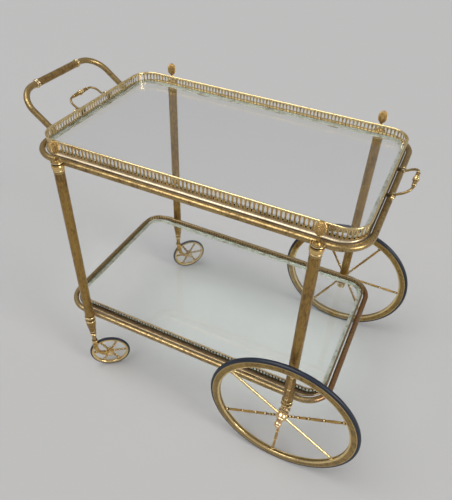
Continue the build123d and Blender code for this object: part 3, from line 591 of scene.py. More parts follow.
# Much darker copies of the gallery brass for the shelf below the tray, a painted shade
PAINTED_SHADE_SHELF_BRASS = brass("shelf_brass_painted_shade", (0.22, 0.155, 0.085), (0.085, 0.052, 0.026), (0.38, 0.28, 0.15),
                    0.32, 0.5, painted_end_shade=0.5)
PAINTED_SHADE_SLOT_BRASS = brass("shelf_slot_brass_painted_shade", (0.15, 0.1, 0.045), (0.045, 0.027, 0.012),
                   (0.4, 0.28, 0.12), 0.3, 0.55)
TURNED_BRASS = brass("turned_brass", (0.66, 0.43, 0.14), (0.19, 0.105, 0.032), SHINE, 0.15, 0.44,
                     groove_darkness=0.8)
ROD_BRASS = brass("rod_brass", (0.88, 0.7, 0.36), (0.55, 0.38, 0.16), SHINE, 0.17, 0.14, groove_darkness=0.5)
HUB_BRASS = brass("hub_brass", (0.82, 0.58, 0.32), (0.42, 0.24, 0.12), CREAM_SHINE, 0.18, 0.3,
                  groove_darkness=0.35)
CONE_BRASS = brass("cone_brass", (0.6, 0.38, 0.12), (0.22, 0.12, 0.035), (0.9, 0.64, 0.28),
                   0.3, 0.42)
RIM_BRASS = brass("rim_brass", (0.42, 0.28, 0.09), (0.155, 0.095, 0.03), SHINE, 0.2, 0.46)
GRIP_BRASS = brass("grip_brass", (0.44, 0.285, 0.1), (0.15, 0.085, 0.029), SHINE, 0.22, 0.46)
LEDGE_METAL = ledge_metal("ledge_metal")
RUBBER = rubber("tyre_rubber")
GLASS = glass("plate_glass", (0.975, 0.985, 0.98, 1))
GLASS_EDGE = glass("glass_edge", (0.13, 0.28, 0.21, 1))


# Pieces

MERGE_WITHIN = 0.02


def piece(name, body, nodes, finish, *surfaces, slot="brass", sharp=38.0, merge=False,
          edge_finish=None):
    """One mesh from several closed surfaces, smooth but for edges sharper than an angle. An edge
    finish goes on every face but the caps"""
    spots, groups, proud = zip(*surfaces)
    starts = np.cumsum([0] + [len(group) for group in spots])
    faces = [
        [spot + start for spot in face] for group, start in zip(groups, starts) for face in group
    ]
    mesh = bpy.data.meshes.new(name)
    mesh.from_pydata(np.vstack(spots) * MM, [], faces)
    relief = mesh.attributes.new("relief", "FLOAT", "POINT")
    relief.data.foreach_set("value", np.concatenate(proud).astype(np.float32))
    if merge:
        work = bmesh.new()
        work.from_mesh(mesh)
        bmesh.ops.remove_doubles(work, verts=work.verts, dist=MERGE_WITHIN * MM)
        bmesh.ops.recalc_face_normals(work, faces=work.faces)
        work.to_mesh(mesh)
        work.free()
    mesh.materials.append(finish)
    if edge_finish:
        mesh.materials.append(edge_finish)
        four_sided = np.array([len(face) == 4 for face in faces], np.int32)
        mesh.polygons.foreach_set("material_index", four_sided)
    mesh.shade_smooth()
    mesh.set_sharp_from_angle(angle=radians(sharp))
    thing = bpy.data.objects.new(name, mesh)
    bpy.context.scene.collection.objects.link(thing)
    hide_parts(*nodes)
    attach(thing, body)


# Posts

capital = join(
    line((559.0, POST_RADIUS)),
    bead(560.6, 564.2, POST_RADIUS, 0.55),
    bead(564.4, 568.0, POST_RADIUS + 0.1, 0.7),
    line((568.3, 9.9), (568.3, 2.0)),
)
crown = join(
    line((568.3, 2.0)),
    flow((568.3, 9.9), (570.0, 11.1), (573.2, 11.95), (576.6, 11.7), (579.0, 10.4), (580.0, 9.8)),
    flow((580.9, 9.7), (581.7, 10.2), (582.5, 11.5), (583.4, 11.9)),
    line((584.0, 11.5), (584.1, 10.3), (583.5, 9.9), (583.5, 9.1), (584.2, 8.8), (584.3, 7.4),
         (583.9, 7.0), (583.9, 4.0), (585.0, 3.0)),
)
middle = join(
    line((162.4, POST_RADIUS)),
    bead(162.6, 168.2, POST_RADIUS + 0.1, 2.0),
    line((168.6, 9.9), (174.4, 9.9)),
    bead(174.8, 180.2, POST_RADIUS, 1.9),
    line((180.4, POST_RADIUS)),
)
axle_foot = join(
    line((141.5, 4.0)),
    flow((141.5, 6.2), (142.3, 8.6), (144.2, POST_RADIUS)),
    line((148.0, POST_RADIUS)),
)
caster_foot = join(
    line((118.3, 4.6), (118.3, 6.9), (121.1, 7.0)),
    line((121.4, 6.4), (126.4, 6.3)),
    bead(126.6, 130.6, 7.2, 0.9),
    flow((131.0, 7.6), (139.0, 8.6), (149.0, 10.2), (157.0, 10.9), (161.6, 10.2)),
)
for end, x_sign in ENDS.items():
    foot = axle_foot if end == "right" else caster_foot
    for side, y_sign in SIDES.items():
        corner = (x_sign * POST_X, y_sign * POST_Y, 0)
        piece(f"turned_post_{side}_{end}", "frame", [f"post_{side}_{end}"], POST_BRASS,
              turned(join(foot, middle, capital), corner, sides=48))
        piece(f"post_crown_{side}_{end}", "frame", [f"post_{side}_{end}"], PAINTED_HIGHLIGHT_CAPITAL_BRASS,
              turned(crown, corner, sides=48, step=1.5))


# Pine-cone finials

CONE_BASE = 600.6
CONE_TOP = 624.6
CONE_SCALES = 15
CONE_CLIMB = 5.3


def cone(origin, rows=100, columns=168):
    """Scaly cone: radius(t, a) = outline(t) + proud·scale and height(t) lifted a little by it,
    where the scale is the smaller of two crossed waves |sin(scales·a/2 ± climb(t))|, so that
    rounded diamonds stand out between crossed grooves"""
    share = np.linspace(0, 1, rows)
    outline = flow((0.0, 3.6), (0.07, 6.0), (0.2, 7.9), (0.45, 8.8), (0.7, 8.0), (0.88, 5.6),
                   (0.97, 3.0), (1.0, 1.3))
    radius = np.interp(share, outline[:, 0], outline[:, 1])
    angle = np.arange(columns) * tau / columns
    wave = CONE_SCALES * angle[None] / 2
    climb = CONE_CLIMB * pi * share[:, None]
    scale = np.minimum(abs(np.sin(wave + climb)), abs(np.sin(wave - climb))) ** 0.8
    fade = np.clip((1 - share) / 0.12, 0, 1)[:, None] * np.clip(share / 0.05, 0, 1)[:, None]
    size = radius[:, None] - 1.2 * fade + 1.7 * fade * scale
    height = CONE_BASE + (CONE_TOP - CONE_BASE) * share[:, None] + 0.35 * fade * scale
    points = np.stack((size * np.cos(angle), size * np.sin(angle), height), axis=-1)
    # The relief it returns paints the grooves between scales darker and the scales' tops paler, a
    # painted shade and highlight
    return closed(points + np.array(origin, float), (scale - 0.42) * 1.4 * fade)


stem = join(
    line((584.0, 2.0), (584.0, 5.6)),
    flow((584.4, 5.6), (586.0, 4.2), (588.6, 2.6), (592.0, 2.0), (595.6, 1.8), (597.4, 2.0)),
    bead(597.6, 599.6, 2.5, 0.9),
    flow((599.8, 2.5), (600.8, 3.6), (601.6, 4.6)),
    line((602.6, 4.6), (602.6, 2.0)),
)
for end, x_sign in ENDS.items():
    for side, y_sign in SIDES.items():
        corner = (x_sign * POST_X, y_sign * POST_Y, 0)
        piece(f"pine_cone_{side}_{end}", "frame", [f"finial_{side}_{end}"], CONE_BRASS,
              cone(corner), sharp=60)
        piece(f"cone_stem_{side}_{end}", "frame", [f"finial_{side}_{end}"], PAINTED_HIGHLIGHT_CAPITAL_BRASS,
              turned(stem, corner, sides=40))


# Bar loops


def loop_route(height):
    """Middle line of a bar loop: a round-cornered rectangle at a height"""
    x, y = around(LOOP_LONG, LOOP_WIDE, LOOP_CORNER, [0.0], steps=20)
    return np.column_stack((x, y, np.full(len(x), height)))


piece("upper_bar_loop", "frame", ["top_loop"], BAR_BRASS,
      tube(loop_route(TOP_LOOP_HEIGHT + 0.4), BAR_RADIUS - 0.4, UP, 32, True))
piece("lower_bar_loop", "frame", ["low_loop"], LOW_BRASS,
      tube(loop_route(LOW_LOOP_HEIGHT), BAR_RADIUS, UP, 32, True))


# Brackets under tray and shelf

BRACKET_X = 150
BRACKET_Y = 182.4
BRACKET_HALF_LONG = 12.0
BRACKET_HALF_WIDE = 5.2
SCREW_Y = 182.0
SEAT_GAP = 0.3  # between a piece that moves or lifts off and what carries it


def bracket(x, y_sign, top):
    """Flat plate with eased edges and rounded ends: its outline is |x/a|^8 + |y/b|^8 = 1 at each of
    six levels, a little smaller at the top and bottom"""
    turn = np.arange(40) * tau / 40
    across, away = np.cos(turn), np.sin(turn)
    square = (abs(across) ** 8 + abs(away) ** 8) ** (-1 / 8)
    levels = np.array(((0.0, 0.8), (0.0, 0.97), (0.5, 1.0), (2.5, 1.0), (3.0, 0.97), (3.0, 0.8)))
    size = levels[:, 1, None] * square
    points = np.stack((
        x + BRACKET_HALF_LONG * size * across,
        y_sign * BRACKET_Y + BRACKET_HALF_WIDE * size * away,
        np.broadcast_to(top - 3.0 + levels[:, 0, None], size.shape),
    ), axis=-1)
    return closed(points)


def screw(x, y, top):
    """Domed screw head under a bracket"""
    outline = join(
        line((top - 3.0, 0.6)),
        flow((top - 4.5, 1.6), (top - 4.2, 2.9), (top - 3.0, 3.6)),
        line((top - 2.0, 3.6), (top - 2.0, 0.6)),
    )
    return turned(outline, (x, y, 0), sides=20)


for name, top in (("tray", TRAY_BASE - SEAT_GAP), ("shelf", SHELF_BASE)):
    spots = [(x, y_sign) for x in (-BRACKET_X, BRACKET_X) for y_sign in (-1, 1)]
    plates = [bracket(x, y_sign, top) for x, y_sign in spots]
    heads = [screw(x, y_sign * SCREW_Y, top) for x, y_sign in spots]
    piece(f"{name}_bracket_plates", "frame", [f"{name}_brackets"], LOW_BRASS, *plates, *heads)


# Galleries, rails and glass


def moulding(base, glass_base, reach):
    """Section of a gallery's foot from the wall outwards and down, in (inset, height, lip) rows: a
    plain cove under the slots, an eased edge that reaches over the bar along the long sides, and
    the skirt below"""
    top = glass_base + 2.2
    share = np.linspace(0, 1, 8)
    cove = np.column_stack((
        1.0 - 0.5 * share, glass_base + 2.1 + 0.1 * (1 - share**0.8), 4.6 * share**1.25
    ))
    edge = flow(
        (0.5, glass_base + 2.0, 5.0), (0.4, glass_base + 1.3, reach - 0.7),
        (0.2, glass_base + 0.3, reach), (0.1, glass_base - 0.4, reach),
        (0.1, glass_base - 0.6, reach - 0.2), steps=4,
    )
    skirt = [
        (0.1, glass_base - 0.75, 6.5), (0.1, glass_base - 1.0, 6.1), (0.1, base + 1.5, 5.9),
        (0.1, base + 0.5, 6.0), (0.4, base, 5.6), (2.3, base, 0.0), (2.3, glass_base - 0.6, 0.0),
    ]
    return np.vstack(([(2.3, top + 0.3, 0.0), (1.1, top + 0.3, 0.0)], cove, edge, skirt))


def ledge(glass_base):
    """Section of the ledge that the glass lies on, with its inner corners eased"""
    top = glass_base - 0.1
    return [
        (2.2, top), (LEDGE_INSET - 0.3, top), (LEDGE_INSET, top - 0.3),
        (LEDGE_INSET, top - 1.2), (LEDGE_INSET - 0.3, top - 1.5), (2.2, top - 1.5),
    ]


def rail_bead(base, top):
    """Closed section of a gallery's rail: a flattened round bead with a lip below on each side"""
    turn = np.linspace(-0.15 * pi, 1.15 * pi, 13)
    half, tall = RAIL_WIDTH / 2, (top - base) / 2
    bead_line = np.column_stack((half - half * np.cos(turn), base + tall + tall * np.sin(turn)))
    return np.vstack((bead_line, [(half + 0.75, base), (half - 0.75, base)]))


for name, body, long, base, glass_base, rail, reach, wall, finishes in (
    ("tray", "tray", TRAY_LONG, TRAY_BASE, TRAY_GLASS_BASE, TRAY_RAIL, 7.0, TRAY_WALL,
     (GALLERY_BRASS, PAINTED_SHEEN_MOULDING_BRASS, RAIL_BRASS)),
    ("shelf", "frame", SHELF_LONG, SHELF_BASE, SHELF_GLASS_BASE, SHELF_RAIL, 8.6, SHELF_WALL,
     (PAINTED_SHADE_SLOT_BRASS, PAINTED_SHADE_SHELF_BRASS, PAINTED_SHADE_SHELF_BRASS)),
):
    wall_finish, moulding_finish, rail_finish = finishes
    node = f"{name}_gallery"
    piece(f"pierced_{name}_gallery", body, [node], wall_finish, pierced_wall(long, *wall), merge=True)
    piece(f"{name}_moulding", body, [node], moulding_finish,
          band(long, moulding(base, glass_base, reach)))
    piece(f"{name}_ledge", body, [node], LEDGE_METAL, band(long, ledge(glass_base)))
    piece(f"{name}_rail_bead", body, [f"{name}_rail"], rail_finish, band(long, rail_bead(*rail)))


def pane_edge(base):
    """Edge of a pane: flat faces, eased arrises and an upright side"""
    top = base + GLASS_THICKNESS
    return [
        (GLASS_INSET + 0.6, base), (GLASS_INSET, base + 0.6),
        (GLASS_INSET, top - 0.6), (GLASS_INSET + 0.6, top),
    ]


for name, body, long, base in (
    ("tray", "tray", TRAY_LONG, TRAY_GLASS_BASE), ("shelf", "frame", SHELF_LONG, SHELF_GLASS_BASE)
):
    piece(f"{name}_pane", body, [f"{name}_glass"], GLASS, pane(long, pane_edge(base)),
          slot="glass", sharp=25, edge_finish=GLASS_EDGE)


# Push handle

rise = radians(PUSH_RISE)
push_up = np.array((sin(rise), 0, cos(rise)))
push_out = np.array((-cos(rise), 0, sin(rise)))
push_foot = np.array((-LOOP_LONG / 2, 0, TOP_LOOP_HEIGHT))


def hoop_route(half_wide, reach, bend, foot, across, out, steps=18):
    """Middle line of a hoop: up one arm, round two quarter bends and down the other arm"""
    turn = np.linspace(0, pi / 2, steps)
    arc = bend * np.column_stack((np.cos(turn), np.sin(turn)))
    right = (half_wide - bend, reach - bend) + arc
    left = right[::-1] * (-1, 1)
    spots = np.vstack(([(half_wide, 0.0)], right, left, [(-half_wide, 0.0)]))
    return foot + spots[:, :1] * across + spots[:, 1:] * out


piece("push_hoop", "frame", ["push_handle"], BAR_BRASS,
      tube(hoop_route(PUSH_WIDE / 2, PUSH_REACH, PUSH_BEND, push_foot, AWAY, push_out),
           BAR_RADIUS, push_up, 32))
push_middle = push_foot + PUSH_REACH * push_out
grip_sleeve = line((-59, 5.6), (-59, 7.2), (-58.2, 7.3), (58.2, 7.3), (59, 7.2), (59, 5.6))
piece("push_grip_sleeve", "frame", ["push_grip"], GRIP_BRASS,
      turned(grip_sleeve, push_middle, AWAY, push_up, 36))
collar = join(
    line((59.0, 5.6), (59.0, 7.6)),
    bead(59.1, 61.7, 7.6, 1.3),
    line((61.9, 7.5)),
    bead(62.0, 64.8, 7.2, 0.9),
    line((65.0, 7.0), (65.0, 5.6)),
)
piece("push_ring_collars", "frame", ["push_collars"], BAR_BRASS,
      *(turned(collar, push_middle, way, push_up, 36) for way in (AWAY, -AWAY)))


# Tray handles

EYE_HALF = 2.2
EAR_HALF = 1.3
EAR_FOOT = 303.6
lug_inner = BAIL_WIDE / 2 + EYE_HALF + SEAT_GAP


def lug(x_sign, y):
    """Lug: a domed base on the gallery, |y/a|^3 + |z/b|^3 = 1 at each level, an arm that is waisted
    by sin(pi·t)·(1 - t), and an ear round the pin"""
    turn = np.arange(36) * tau / 36
    across, upward = np.cos(turn), np.sin(turn)
    square = (abs(across) ** 3 + abs(upward) ** 3) ** (-1 / 3)
    levels = np.array(((302.0, 1.0), (303.4, 1.0), (304.0, 0.86), (304.5, 0.6)))
    size = levels[:, 1, None] * square
    x = np.broadcast_to(x_sign * levels[:, 0, None], size.shape)
    base = np.stack((x, y + 6.9 * size * across, PIVOT_HEIGHT + 5.9 * size * upward), axis=-1)
    share = np.linspace(0, 1, 9)[:, None]
    centre = x_sign * (EAR_FOOT + (PIVOT_X - EAR_FOOT) * share)
    tall = 4.4 - 1.5 * np.sin(pi * share) * (1 - share)
    arm = np.stack(np.broadcast_arrays(
        centre,
        y + 1.25 * np.sign(across) * abs(across) ** 0.5,
        PIVOT_HEIGHT + tall * upward,
    ), axis=-1)
    ear_outline = line((-EAR_HALF, 1.4), (-EAR_HALF, 4.1), (-1.0, 4.5), (1.0, 4.5), (EAR_HALF, 4.1),
                       (EAR_HALF, 1.4))
    ear = turned(ear_outline, (x_sign * PIVOT_X, y, PIVOT_HEIGHT), AWAY, AHEAD, 28)
    return [closed(base), closed(arm), ear]


ball = 3.9
pin_end = BAIL_WIDE / 2 - EYE_HALF
head = lug_inner + 2 * EAR_HALF
pin_outline = join(
    line((pin_end, 0.5), (pin_end, 1.3), (pin_end + 0.4, 1.6), (head, 1.6), (head, 3.0)),
    bead(head + 0.1, head + 1.2, 2.6, 0.6),
    bead(head + 1.3, head + 1.2 + 2 * ball, 0.9, ball - 0.9, 15),
    line((head + 1.2 + 2 * ball, 0.6)),
)
lug_parts, pin_parts = [], []
for x_sign in ENDS.values():
    pivot = (x_sign * PIVOT_X, 0, PIVOT_HEIGHT)
    for y_sign in SIDES.values():
        lug_parts += lug(x_sign, y_sign * (lug_inner + EAR_HALF))
        pin_parts.append(turned(pin_outline, pivot, y_sign * AWAY, AHEAD, 28, 2.0))
piece("tray_lugs", "tray", ["tray_handle_lugs"], GALLERY_BRASS, *lug_parts)
piece("tray_pins", "tray", ["tray_handle_pins"], TURNED_BRASS, *pin_parts)

grip_half = join(
    line((0.0, 5.6)),
    flow((0.0, 5.6), (1.6, 5.4), (2.9, 4.2)),
    line((3.1, 3.4), (3.6, 3.4)),
    bead(3.8, 5.8, 3.5, 0.9),
    line((6.0, 3.3), (6.4, 3.3)),
    bead(6.6, 8.2, 3.4, 0.6),
    flow((8.4, 3.4), (12.0, 3.7), (16.0, 3.5), (20.0, 2.9)),
    bead(20.6, 22.4, 2.8, 0.9),
    line((22.8, 2.7), (24.0, 2.6), (24.0, 2.0)),
)
bail_grip_outline = join(grip_half[::-1] * (-1, 1), grip_half)
eye_outline = join(
    line((-EYE_HALF, 1.7), (-EYE_HALF, 3.6)),
    flow((-2.0, 4.0), (0.0, 4.4), (2.0, 4.0)),
    line((EYE_HALF, 3.6), (EYE_HALF, 1.7)),
)
lift = radians(BAIL_RISE)
for end, x_sign in ENDS.items():
    out = np.array((x_sign * cos(lift), 0, sin(lift)))
    square_up = np.array((-x_sign * sin(lift), 0, cos(lift)))
    foot = np.array((x_sign * PIVOT_X, 0, PIVOT_HEIGHT))
    route = hoop_route(BAIL_WIDE / 2, BAIL_REACH, BAIL_BEND, foot, AWAY, out, 12)
    eyes = [turned(eye_outline, foot + y_sign * AWAY * BAIL_WIDE / 2, AWAY, AHEAD, 28)
            for y_sign in (-1, 1)]
    piece(f"tray_hoop_{end}", f"handle_{end}", [f"tray_handle_{end}"], BAR_BRASS,
          tube(route, BAIL_RADIUS, square_up, 20), *eyes)
    piece(f"tray_turned_grip_{end}", f"handle_{end}", [f"tray_grip_{end}"], TURNED_BRASS,
          turned(bail_grip_outline, foot + BAIL_REACH * out, AWAY, square_up, 32, 2.0))


# Big wheels

spoke_outline = join(
    line((8.6, 3.0)),
    bead(10.2, 13.6, 2.9, 0.9),
    line((14.2, 2.2), (16.8, 2.1)),
    bead(17.2, 20.8, 2.1, 1.3),
    line((21.2, 1.9), (24.2, 1.9)),
    bead(24.6, 27.4, 2.0, 1.0),
    line((27.8, 1.9), (34.6, 2.0)),
    bead(35.0, 39.2, 2.1, 1.6),
    flow((39.6, 1.9), (42.4, 2.5), (48.5, 2.9), (55.0, 2.5)),
    bead(57.4, 61.6, 2.1, 1.5),
    flow((62.0, 1.8), (65.0, 2.5), (76.0, 3.1), (88.0, 2.6)),
    bead(89.4, 93.4, 2.2, 1.4),
    flow((93.8, 1.9), (97.0, 2.5), (110.0, 3.0), (123.0, 2.6), (127.4, 2.1)),
    bead(128.6, 133.2, 2.2, 1.9),
    line((133.6, 2.2), (136.5, 2.8), (136.5, 1.0)),
)
hub_outline = (HUB_START, 0) + join(
    line((0.0, 5.2), (0.0, 9.2)),
    bead(0.2, 3.8, 9.6, 1.6),
    flow((4.2, 9.4), (6.0, 8.6), (8.2, 9.2)),
    flow((8.6, 9.8), (11.0, 11.2), (15.0, 11.6), (19.0, 10.6), (22.0, 8.8), (23.6, 7.6)),
    line((24.0, 7.0), (24.0, 5.2)),
)
cap_start = HUB_START + HUB_LENGTH + SEAT_GAP
cap_outline = (cap_start, 0) + join(
    line((0.0, 3.2), (0.0, 6.6)),
    flow((0.2, 6.9), (1.6, 6.3), (3.2, 5.7), (4.8, 5.9)),
    flow((5.2, 6.1), (7.4, 7.2), (10.4, 7.6), (13.4, 6.9), (15.8, 5.1)),
    flow((16.2, 4.4), (17.6, 3.6), (18.9, 2.1), (19.5, 0.4)),
)
axle_outline = join(
    (-WHEEL_OUT, 0) + line((-16.2, 1.0), (-16.2, 6.6), (-15.4, 7.4), (-11.6, 7.4), (-11.2, 6.9),
                           (-11.2, 5.9), (11.2, 5.9), (11.2, 5.0)),
    (cap_start, 0) + line((0.0, 5.0), (0.0, 2.9), (8.0, 2.9), (8.0, 1.0)),
)
plain_spoke_outline = join(
    line((9.0, 2.6)),
    flow((12.0, 2.7), (60.0, 2.9), (110.0, 2.9), (133.0, 2.8)),
    line((133.6, 3.7), (136.5, 3.8), (136.5, 1.0)),
)
rim_outline = join(
    line((-4.9, TYRE_INNER), (4.9, TYRE_INNER)),
    flow((5.05, 149.6), (5.3, 146.0), (5.4, 142.0), (5.2, 138.4), (4.2, 136.7)),
    flow((3.4, 136.3), (1.8, 136.6), (0.0, 136.7), (-1.8, 136.6), (-3.4, 136.3)),
    flow((-4.2, 136.7), (-5.2, 138.4), (-5.4, 142.0), (-5.3, 146.0), (-5.05, 149.6)),
)


def tyre_outline(inner, outer, half, steps=19):
    """Section of a tyre on its rim: at an angle t from side to side it is half·sgn(cos t)·
    |cos t|^0.85 wide and rises with (sin t)^0.9 from a little above the rim"""
    angle = np.linspace(0, pi, steps)
    width = half * np.sign(np.cos(angle)) * abs(np.cos(angle)) ** 0.85
    height = inner + (outer - inner) * (0.22 + 0.78 * np.sin(angle) ** 0.9)
    foot = 0.86 * half
    return join(line((foot, inner)), np.column_stack((width, height)), line((-foot, inner)))


wheel_tyre_outline = tyre_outline(TYRE_INNER, WHEEL_RADIUS, 4.9)
for side, y_sign in SIDES.items():
    middle_point = np.array((POST_X, y_sign * (POST_Y + WHEEL_OUT), WHEEL_RADIUS))
    out = y_sign * AWAY
    phase = radians(SPOKE_TURNS[side])
    body = f"wheel_{side}"
    beaded_spokes, plain_spokes = [], []
    for number in range(6):
        angle = phase + number * tau / 6
        way = np.array((cos(angle), 0, sin(angle)))
        if number in PLAIN_SPOKES[side]:
            plain_spokes.append(turned(plain_spoke_outline, middle_point, way, out, 20, 4.0))
        else:
            beaded_spokes.append(turned(spoke_outline, middle_point, way, out, 20, 2.5))
    piece(f"turned_spokes_{side}", body, [f"wheel_spokes_{side}"], TURNED_BRASS, *beaded_spokes)
    if plain_spokes:
        piece(f"plain_rods_{side}", body, [f"wheel_spokes_{side}"], ROD_BRASS, *plain_spokes)
    piece(f"turned_hub_{side}", body, [f"wheel_hub_{side}"], HUB_BRASS,
          turned(hub_outline, middle_point, out, AHEAD, 48, 2.0))
    piece(f"rim_hoop_{side}", body, [f"wheel_rim_{side}"], RIM_BRASS,
          turned(rim_outline, middle_point, out, AHEAD, 160, ring=True))
    piece(f"tyre_hoop_{side}", body, [f"wheel_tyre_{side}"], RUBBER,
          turned(wheel_tyre_outline, middle_point, out, AHEAD, 160, ring=True), slot="rubber")
    piece(f"axle_pin_{side}", "frame", [f"axle_{side}"], LOW_BRASS,
          turned(axle_outline, middle_point, out, AHEAD, 36))
    piece(f"ball_cap_{side}", "frame", [f"axle_cap_{side}"], HUB_BRASS,
          turned(cap_outline, middle_point, out, AHEAD, 40, 1.5))


# Casters

caster_rim_outline = join(
    line((-3.5, CASTER_TYRE_INNER), (3.5, CASTER_TYRE_INNER)),
    flow((3.7, 42.8), (3.8, 41.4), (3.5, 39.8), (2.4, 38.7), (0.0, 38.5), (-2.4, 38.7),
         (-3.5, 39.8), (-3.8, 41.4), (-3.7, 42.8)),
)
caster_spoke_outline = join(
    line((5.4, 2.3)),
    bead(7.6, 11.4, 2.0, 1.6),
    flow((11.8, 2.0), (15.0, 2.5), (19.0, 2.1)),
    bead(19.4, 23.6, 2.0, 1.6),
    flow((24.0, 2.0), (27.0, 2.4), (30.4, 2.0)),
    bead(30.8, 34.8, 2.0, 1.5),
    line((35.2, 2.3), (39.6, 2.5), (39.6, 0.8)),
)
caster_hub_outline = join(
    line((-7.0, 3.1), (-7.0, 4.8)),
    bead(-6.9, -4.2, 4.9, 1.2),
    line((-4.0, 5.0), (-3.4, 6.6), (3.4, 6.6), (4.0, 5.0)),
    bead(4.2, 7.9, 4.9, 1.2),
    line((8.1, 4.8), (8.1, 3.1)),
)
caster_bolt_outline = join(
    line((-9.8, 0.6)),
    flow((-9.8, 1.8), (-9.3, 3.8), (-8.3, 4.8), (-7.3, 4.9)),
    line((-7.3, 3.0), (12.4, 3.0), (12.4, 4.8)),
    flow((12.5, 4.9), (13.6, 4.6), (14.5, 3.2), (14.9, 0.6)),
)
caster_tyre_outline = tyre_outline(CASTER_TYRE_INNER, CASTER_RADIUS, 3.4, 15)
boss_outline = line((8.45, 3.1), (8.45, 6.6), (8.9, 7.3), (11.9, 7.3), (12.35, 6.6), (12.35, 3.1))
stem_outline = join(
    line((89.8, 3.0), (89.8, 6.2)),
    bead(89.9, 94.4, 6.0, 0.95),
    flow((94.8, 5.6), (98.0, 5.0), (104.0, 4.9), (110.0, 5.3), (113.4, 5.8)),
    bead(113.6, 117.9, 5.9, 1.1),
    line((118.0, 5.6), (118.0, 4.0), (149.0, 4.0), (149.5, 3.4), (149.5, 1.0)),
)
# Down the arm in (along the trail, height) rows. By point number: how far it stands beside the
# wheel, and half its width
arm_route = flow((0.0, 91.9), (0.2, 87.0), (1.2, 75.0), (6.0, 62.5), (14.5, 53.5),
                 (CASTER_TRAIL, CASTER_RADIUS), steps=8)
arm_points = len(arm_route)
arm_beside = np.interp(range(arm_points), (0, 9, 16), (2.5, 9.2, 10.4))
arm_half_wide = np.interp(range(arm_points), (0, 12, 26, arm_points), (5.6, 5.8, 4.4, 4.2))
ARM_HALF_THICK = 1.95


def caster_arm(foot, trail, face):
    """Bent arm: point(s, a) = route(s) + face·beside(s) + q(a)·(wide·half_wide(s)·cos a +
    face·half_thick·sin a), where q(a) = (cos^4 a + sin^4 a)^(-1/4) squares the section"""
    middle_line = foot + arm_route[:, :1] * trail + arm_route[:, 1:] * UP
    wide_way = unit(np.cross(face, unit(np.gradient(middle_line, axis=0))))
    turn = np.arange(28) * tau / 28
    across, thick = np.cos(turn), np.sin(turn)
    square = (abs(across) ** 4 + abs(thick) ** 4) ** (-1 / 4)
    wide = (arm_half_wide[:, None] * (square * across)[None])[..., None] * wide_way[:, None]
    deep = (arm_beside[:, None] + ARM_HALF_THICK * (square * thick)[None])[..., None] * face
    return closed(middle_line[:, None] + wide + deep)


for side, y_sign in SIDES.items():
    turn = radians(CASTER_TURNS[side])
    trail = np.array((cos(turn), sin(turn), 0))
    face = np.cross(trail, UP)
    stem_foot = np.array((-POST_X, y_sign * POST_Y, 0))
    centre = stem_foot + CASTER_TRAIL * trail + CASTER_RADIUS * UP
    body, wheel_body = f"caster_{side}", f"caster_roll_{side}"
    piece(f"caster_stem_arm_{side}", body, [f"caster_arm_{side}"], TURNED_BRASS,
          turned(stem_outline, stem_foot, UP, AHEAD, 36, 2.0), caster_arm(stem_foot, trail, face),
          turned(boss_outline, centre, face, trail, 32))
    piece(f"caster_bolt_{side}", body, [f"caster_axle_{side}"], LOW_BRASS,
          turned(caster_bolt_outline, centre, face, trail, 24))
    ways = [cos(angle) * trail + sin(angle) * UP for angle in np.arange(6) * tau / 6]
    rays = [turned(caster_spoke_outline, centre, way, face, 14, 3.0) for way in ways]
    piece(f"caster_spoked_wheel_{side}", wheel_body, [f"caster_wheel_{side}"], TURNED_BRASS,
          turned(caster_rim_outline, centre, face, trail, 80, ring=True),
          turned(caster_hub_outline, centre, face, trail, 32, 2.0), *rays)
    piece(f"caster_tyre_hoop_{side}", wheel_body, [f"caster_tyre_{side}"], RUBBER,
          turned(caster_tyre_outline, centre, face, trail, 80, ring=True), slot="rubber")


# Floor, light and camera

# Metres
FLOOR_HALF = 6.0
FLOOR_HEIGHT = -0.0005
floor_corners = [(x * FLOOR_HALF, y * FLOOR_HALF, FLOOR_HEIGHT)
                 for x, y in ((-1, -1), (1, -1), (1, 1), (-1, 1))]
floor_mesh = bpy.data.meshes.new("studio_floor")
floor_mesh.from_pydata(floor_corners, [], [(0, 1, 2, 3)])
floor = bpy.data.objects.new("studio_floor", floor_mesh)
bpy.context.scene.collection.objects.link(floor)
floor_shader = Shader("pale_floor")
floor_mesh.materials.append(floor_shader.close(floor_shader.node(
    "ShaderNodeBsdfPrincipled", {}, Base_Color=(0.47, 0.47, 0.47, 1), Roughness=0.9)))

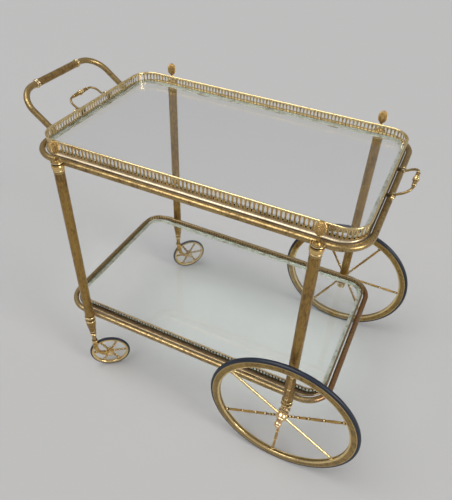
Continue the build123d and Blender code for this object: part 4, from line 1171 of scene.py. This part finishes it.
studio = Shader("studio", studio=True)
height = studio.node("ShaderNodeSeparateXYZ", {}, studio.place, output="Z")
walls = studio.blend(height.rise(0.0, 1.0), (0.24, 0.24, 0.25, 1), (0.34, 0.35, 0.37, 1))
bpy.context.scene.world = studio.close(studio.node("ShaderNodeBackground", {}, walls, 1.0))


def lamp(name, way, wide, power, colour):
    """Soft lamp that shines from a direction, so many degrees wide, in watts per square metre. Its
    light goes through glass as shadow light, so that the glass doesn't pass it on twice"""
    light = bpy.data.lights.new(name, "SUN")
    light.angle = radians(wide)
    light.energy = power
    light.color = colour
    thing = bpy.data.objects.new(name, light)
    bpy.context.scene.collection.objects.link(thing)
    thing.location = way
    thing.visible_transmission = False
    thing.rotation_mode = "QUATERNION"
    thing.rotation_quaternion = (-Vector(way)).to_track_quat("-Z", "Y")


lamp("top_lamp", (-0.35, -0.3, 1.1), 44, 1.9, (1.0, 0.985, 0.96))
lamp("right_lamp", (1.5, -0.35, 0.8), 24, 1.5, (1.0, 0.97, 0.93))

# Solved from the photograph: place, focal length in pixels of a picture 500 high, and the angles
# round the upright, down and round the line of sight
CAMERA_PLACE = (355.1, -783.3, 1063.4)
CAMERA_FOCUS = 512.0
PICTURE_HIGH = 500
SENSOR = 36
CAMERA_TURN = (24.2, 40.8, -2.4)

turn, lift, roll = (radians(angle) for angle in CAMERA_TURN)
ahead = -np.array((sin(turn) * cos(lift), -cos(turn) * cos(lift), sin(lift)))
level = unit(np.cross(ahead, UP))
down = np.cross(ahead, level)
right = cos(roll) * level + sin(roll) * down
low = -sin(roll) * level + cos(roll) * down
camera = bpy.data.objects.new("camera", bpy.data.cameras.new("camera"))
bpy.context.scene.collection.objects.link(camera)
camera.data.sensor_width = SENSOR
camera.data.lens = CAMERA_FOCUS / PICTURE_HIGH * SENSOR
camera.data.clip_start = 0.01
columns = np.column_stack((right, -low, -ahead, np.array(CAMERA_PLACE) * MM))
camera.matrix_world = Matrix((*columns.tolist(), (0, 0, 0, 1)))
bpy.context.scene.camera = camera
bpy.context.scene.view_settings.view_transform = "Standard"
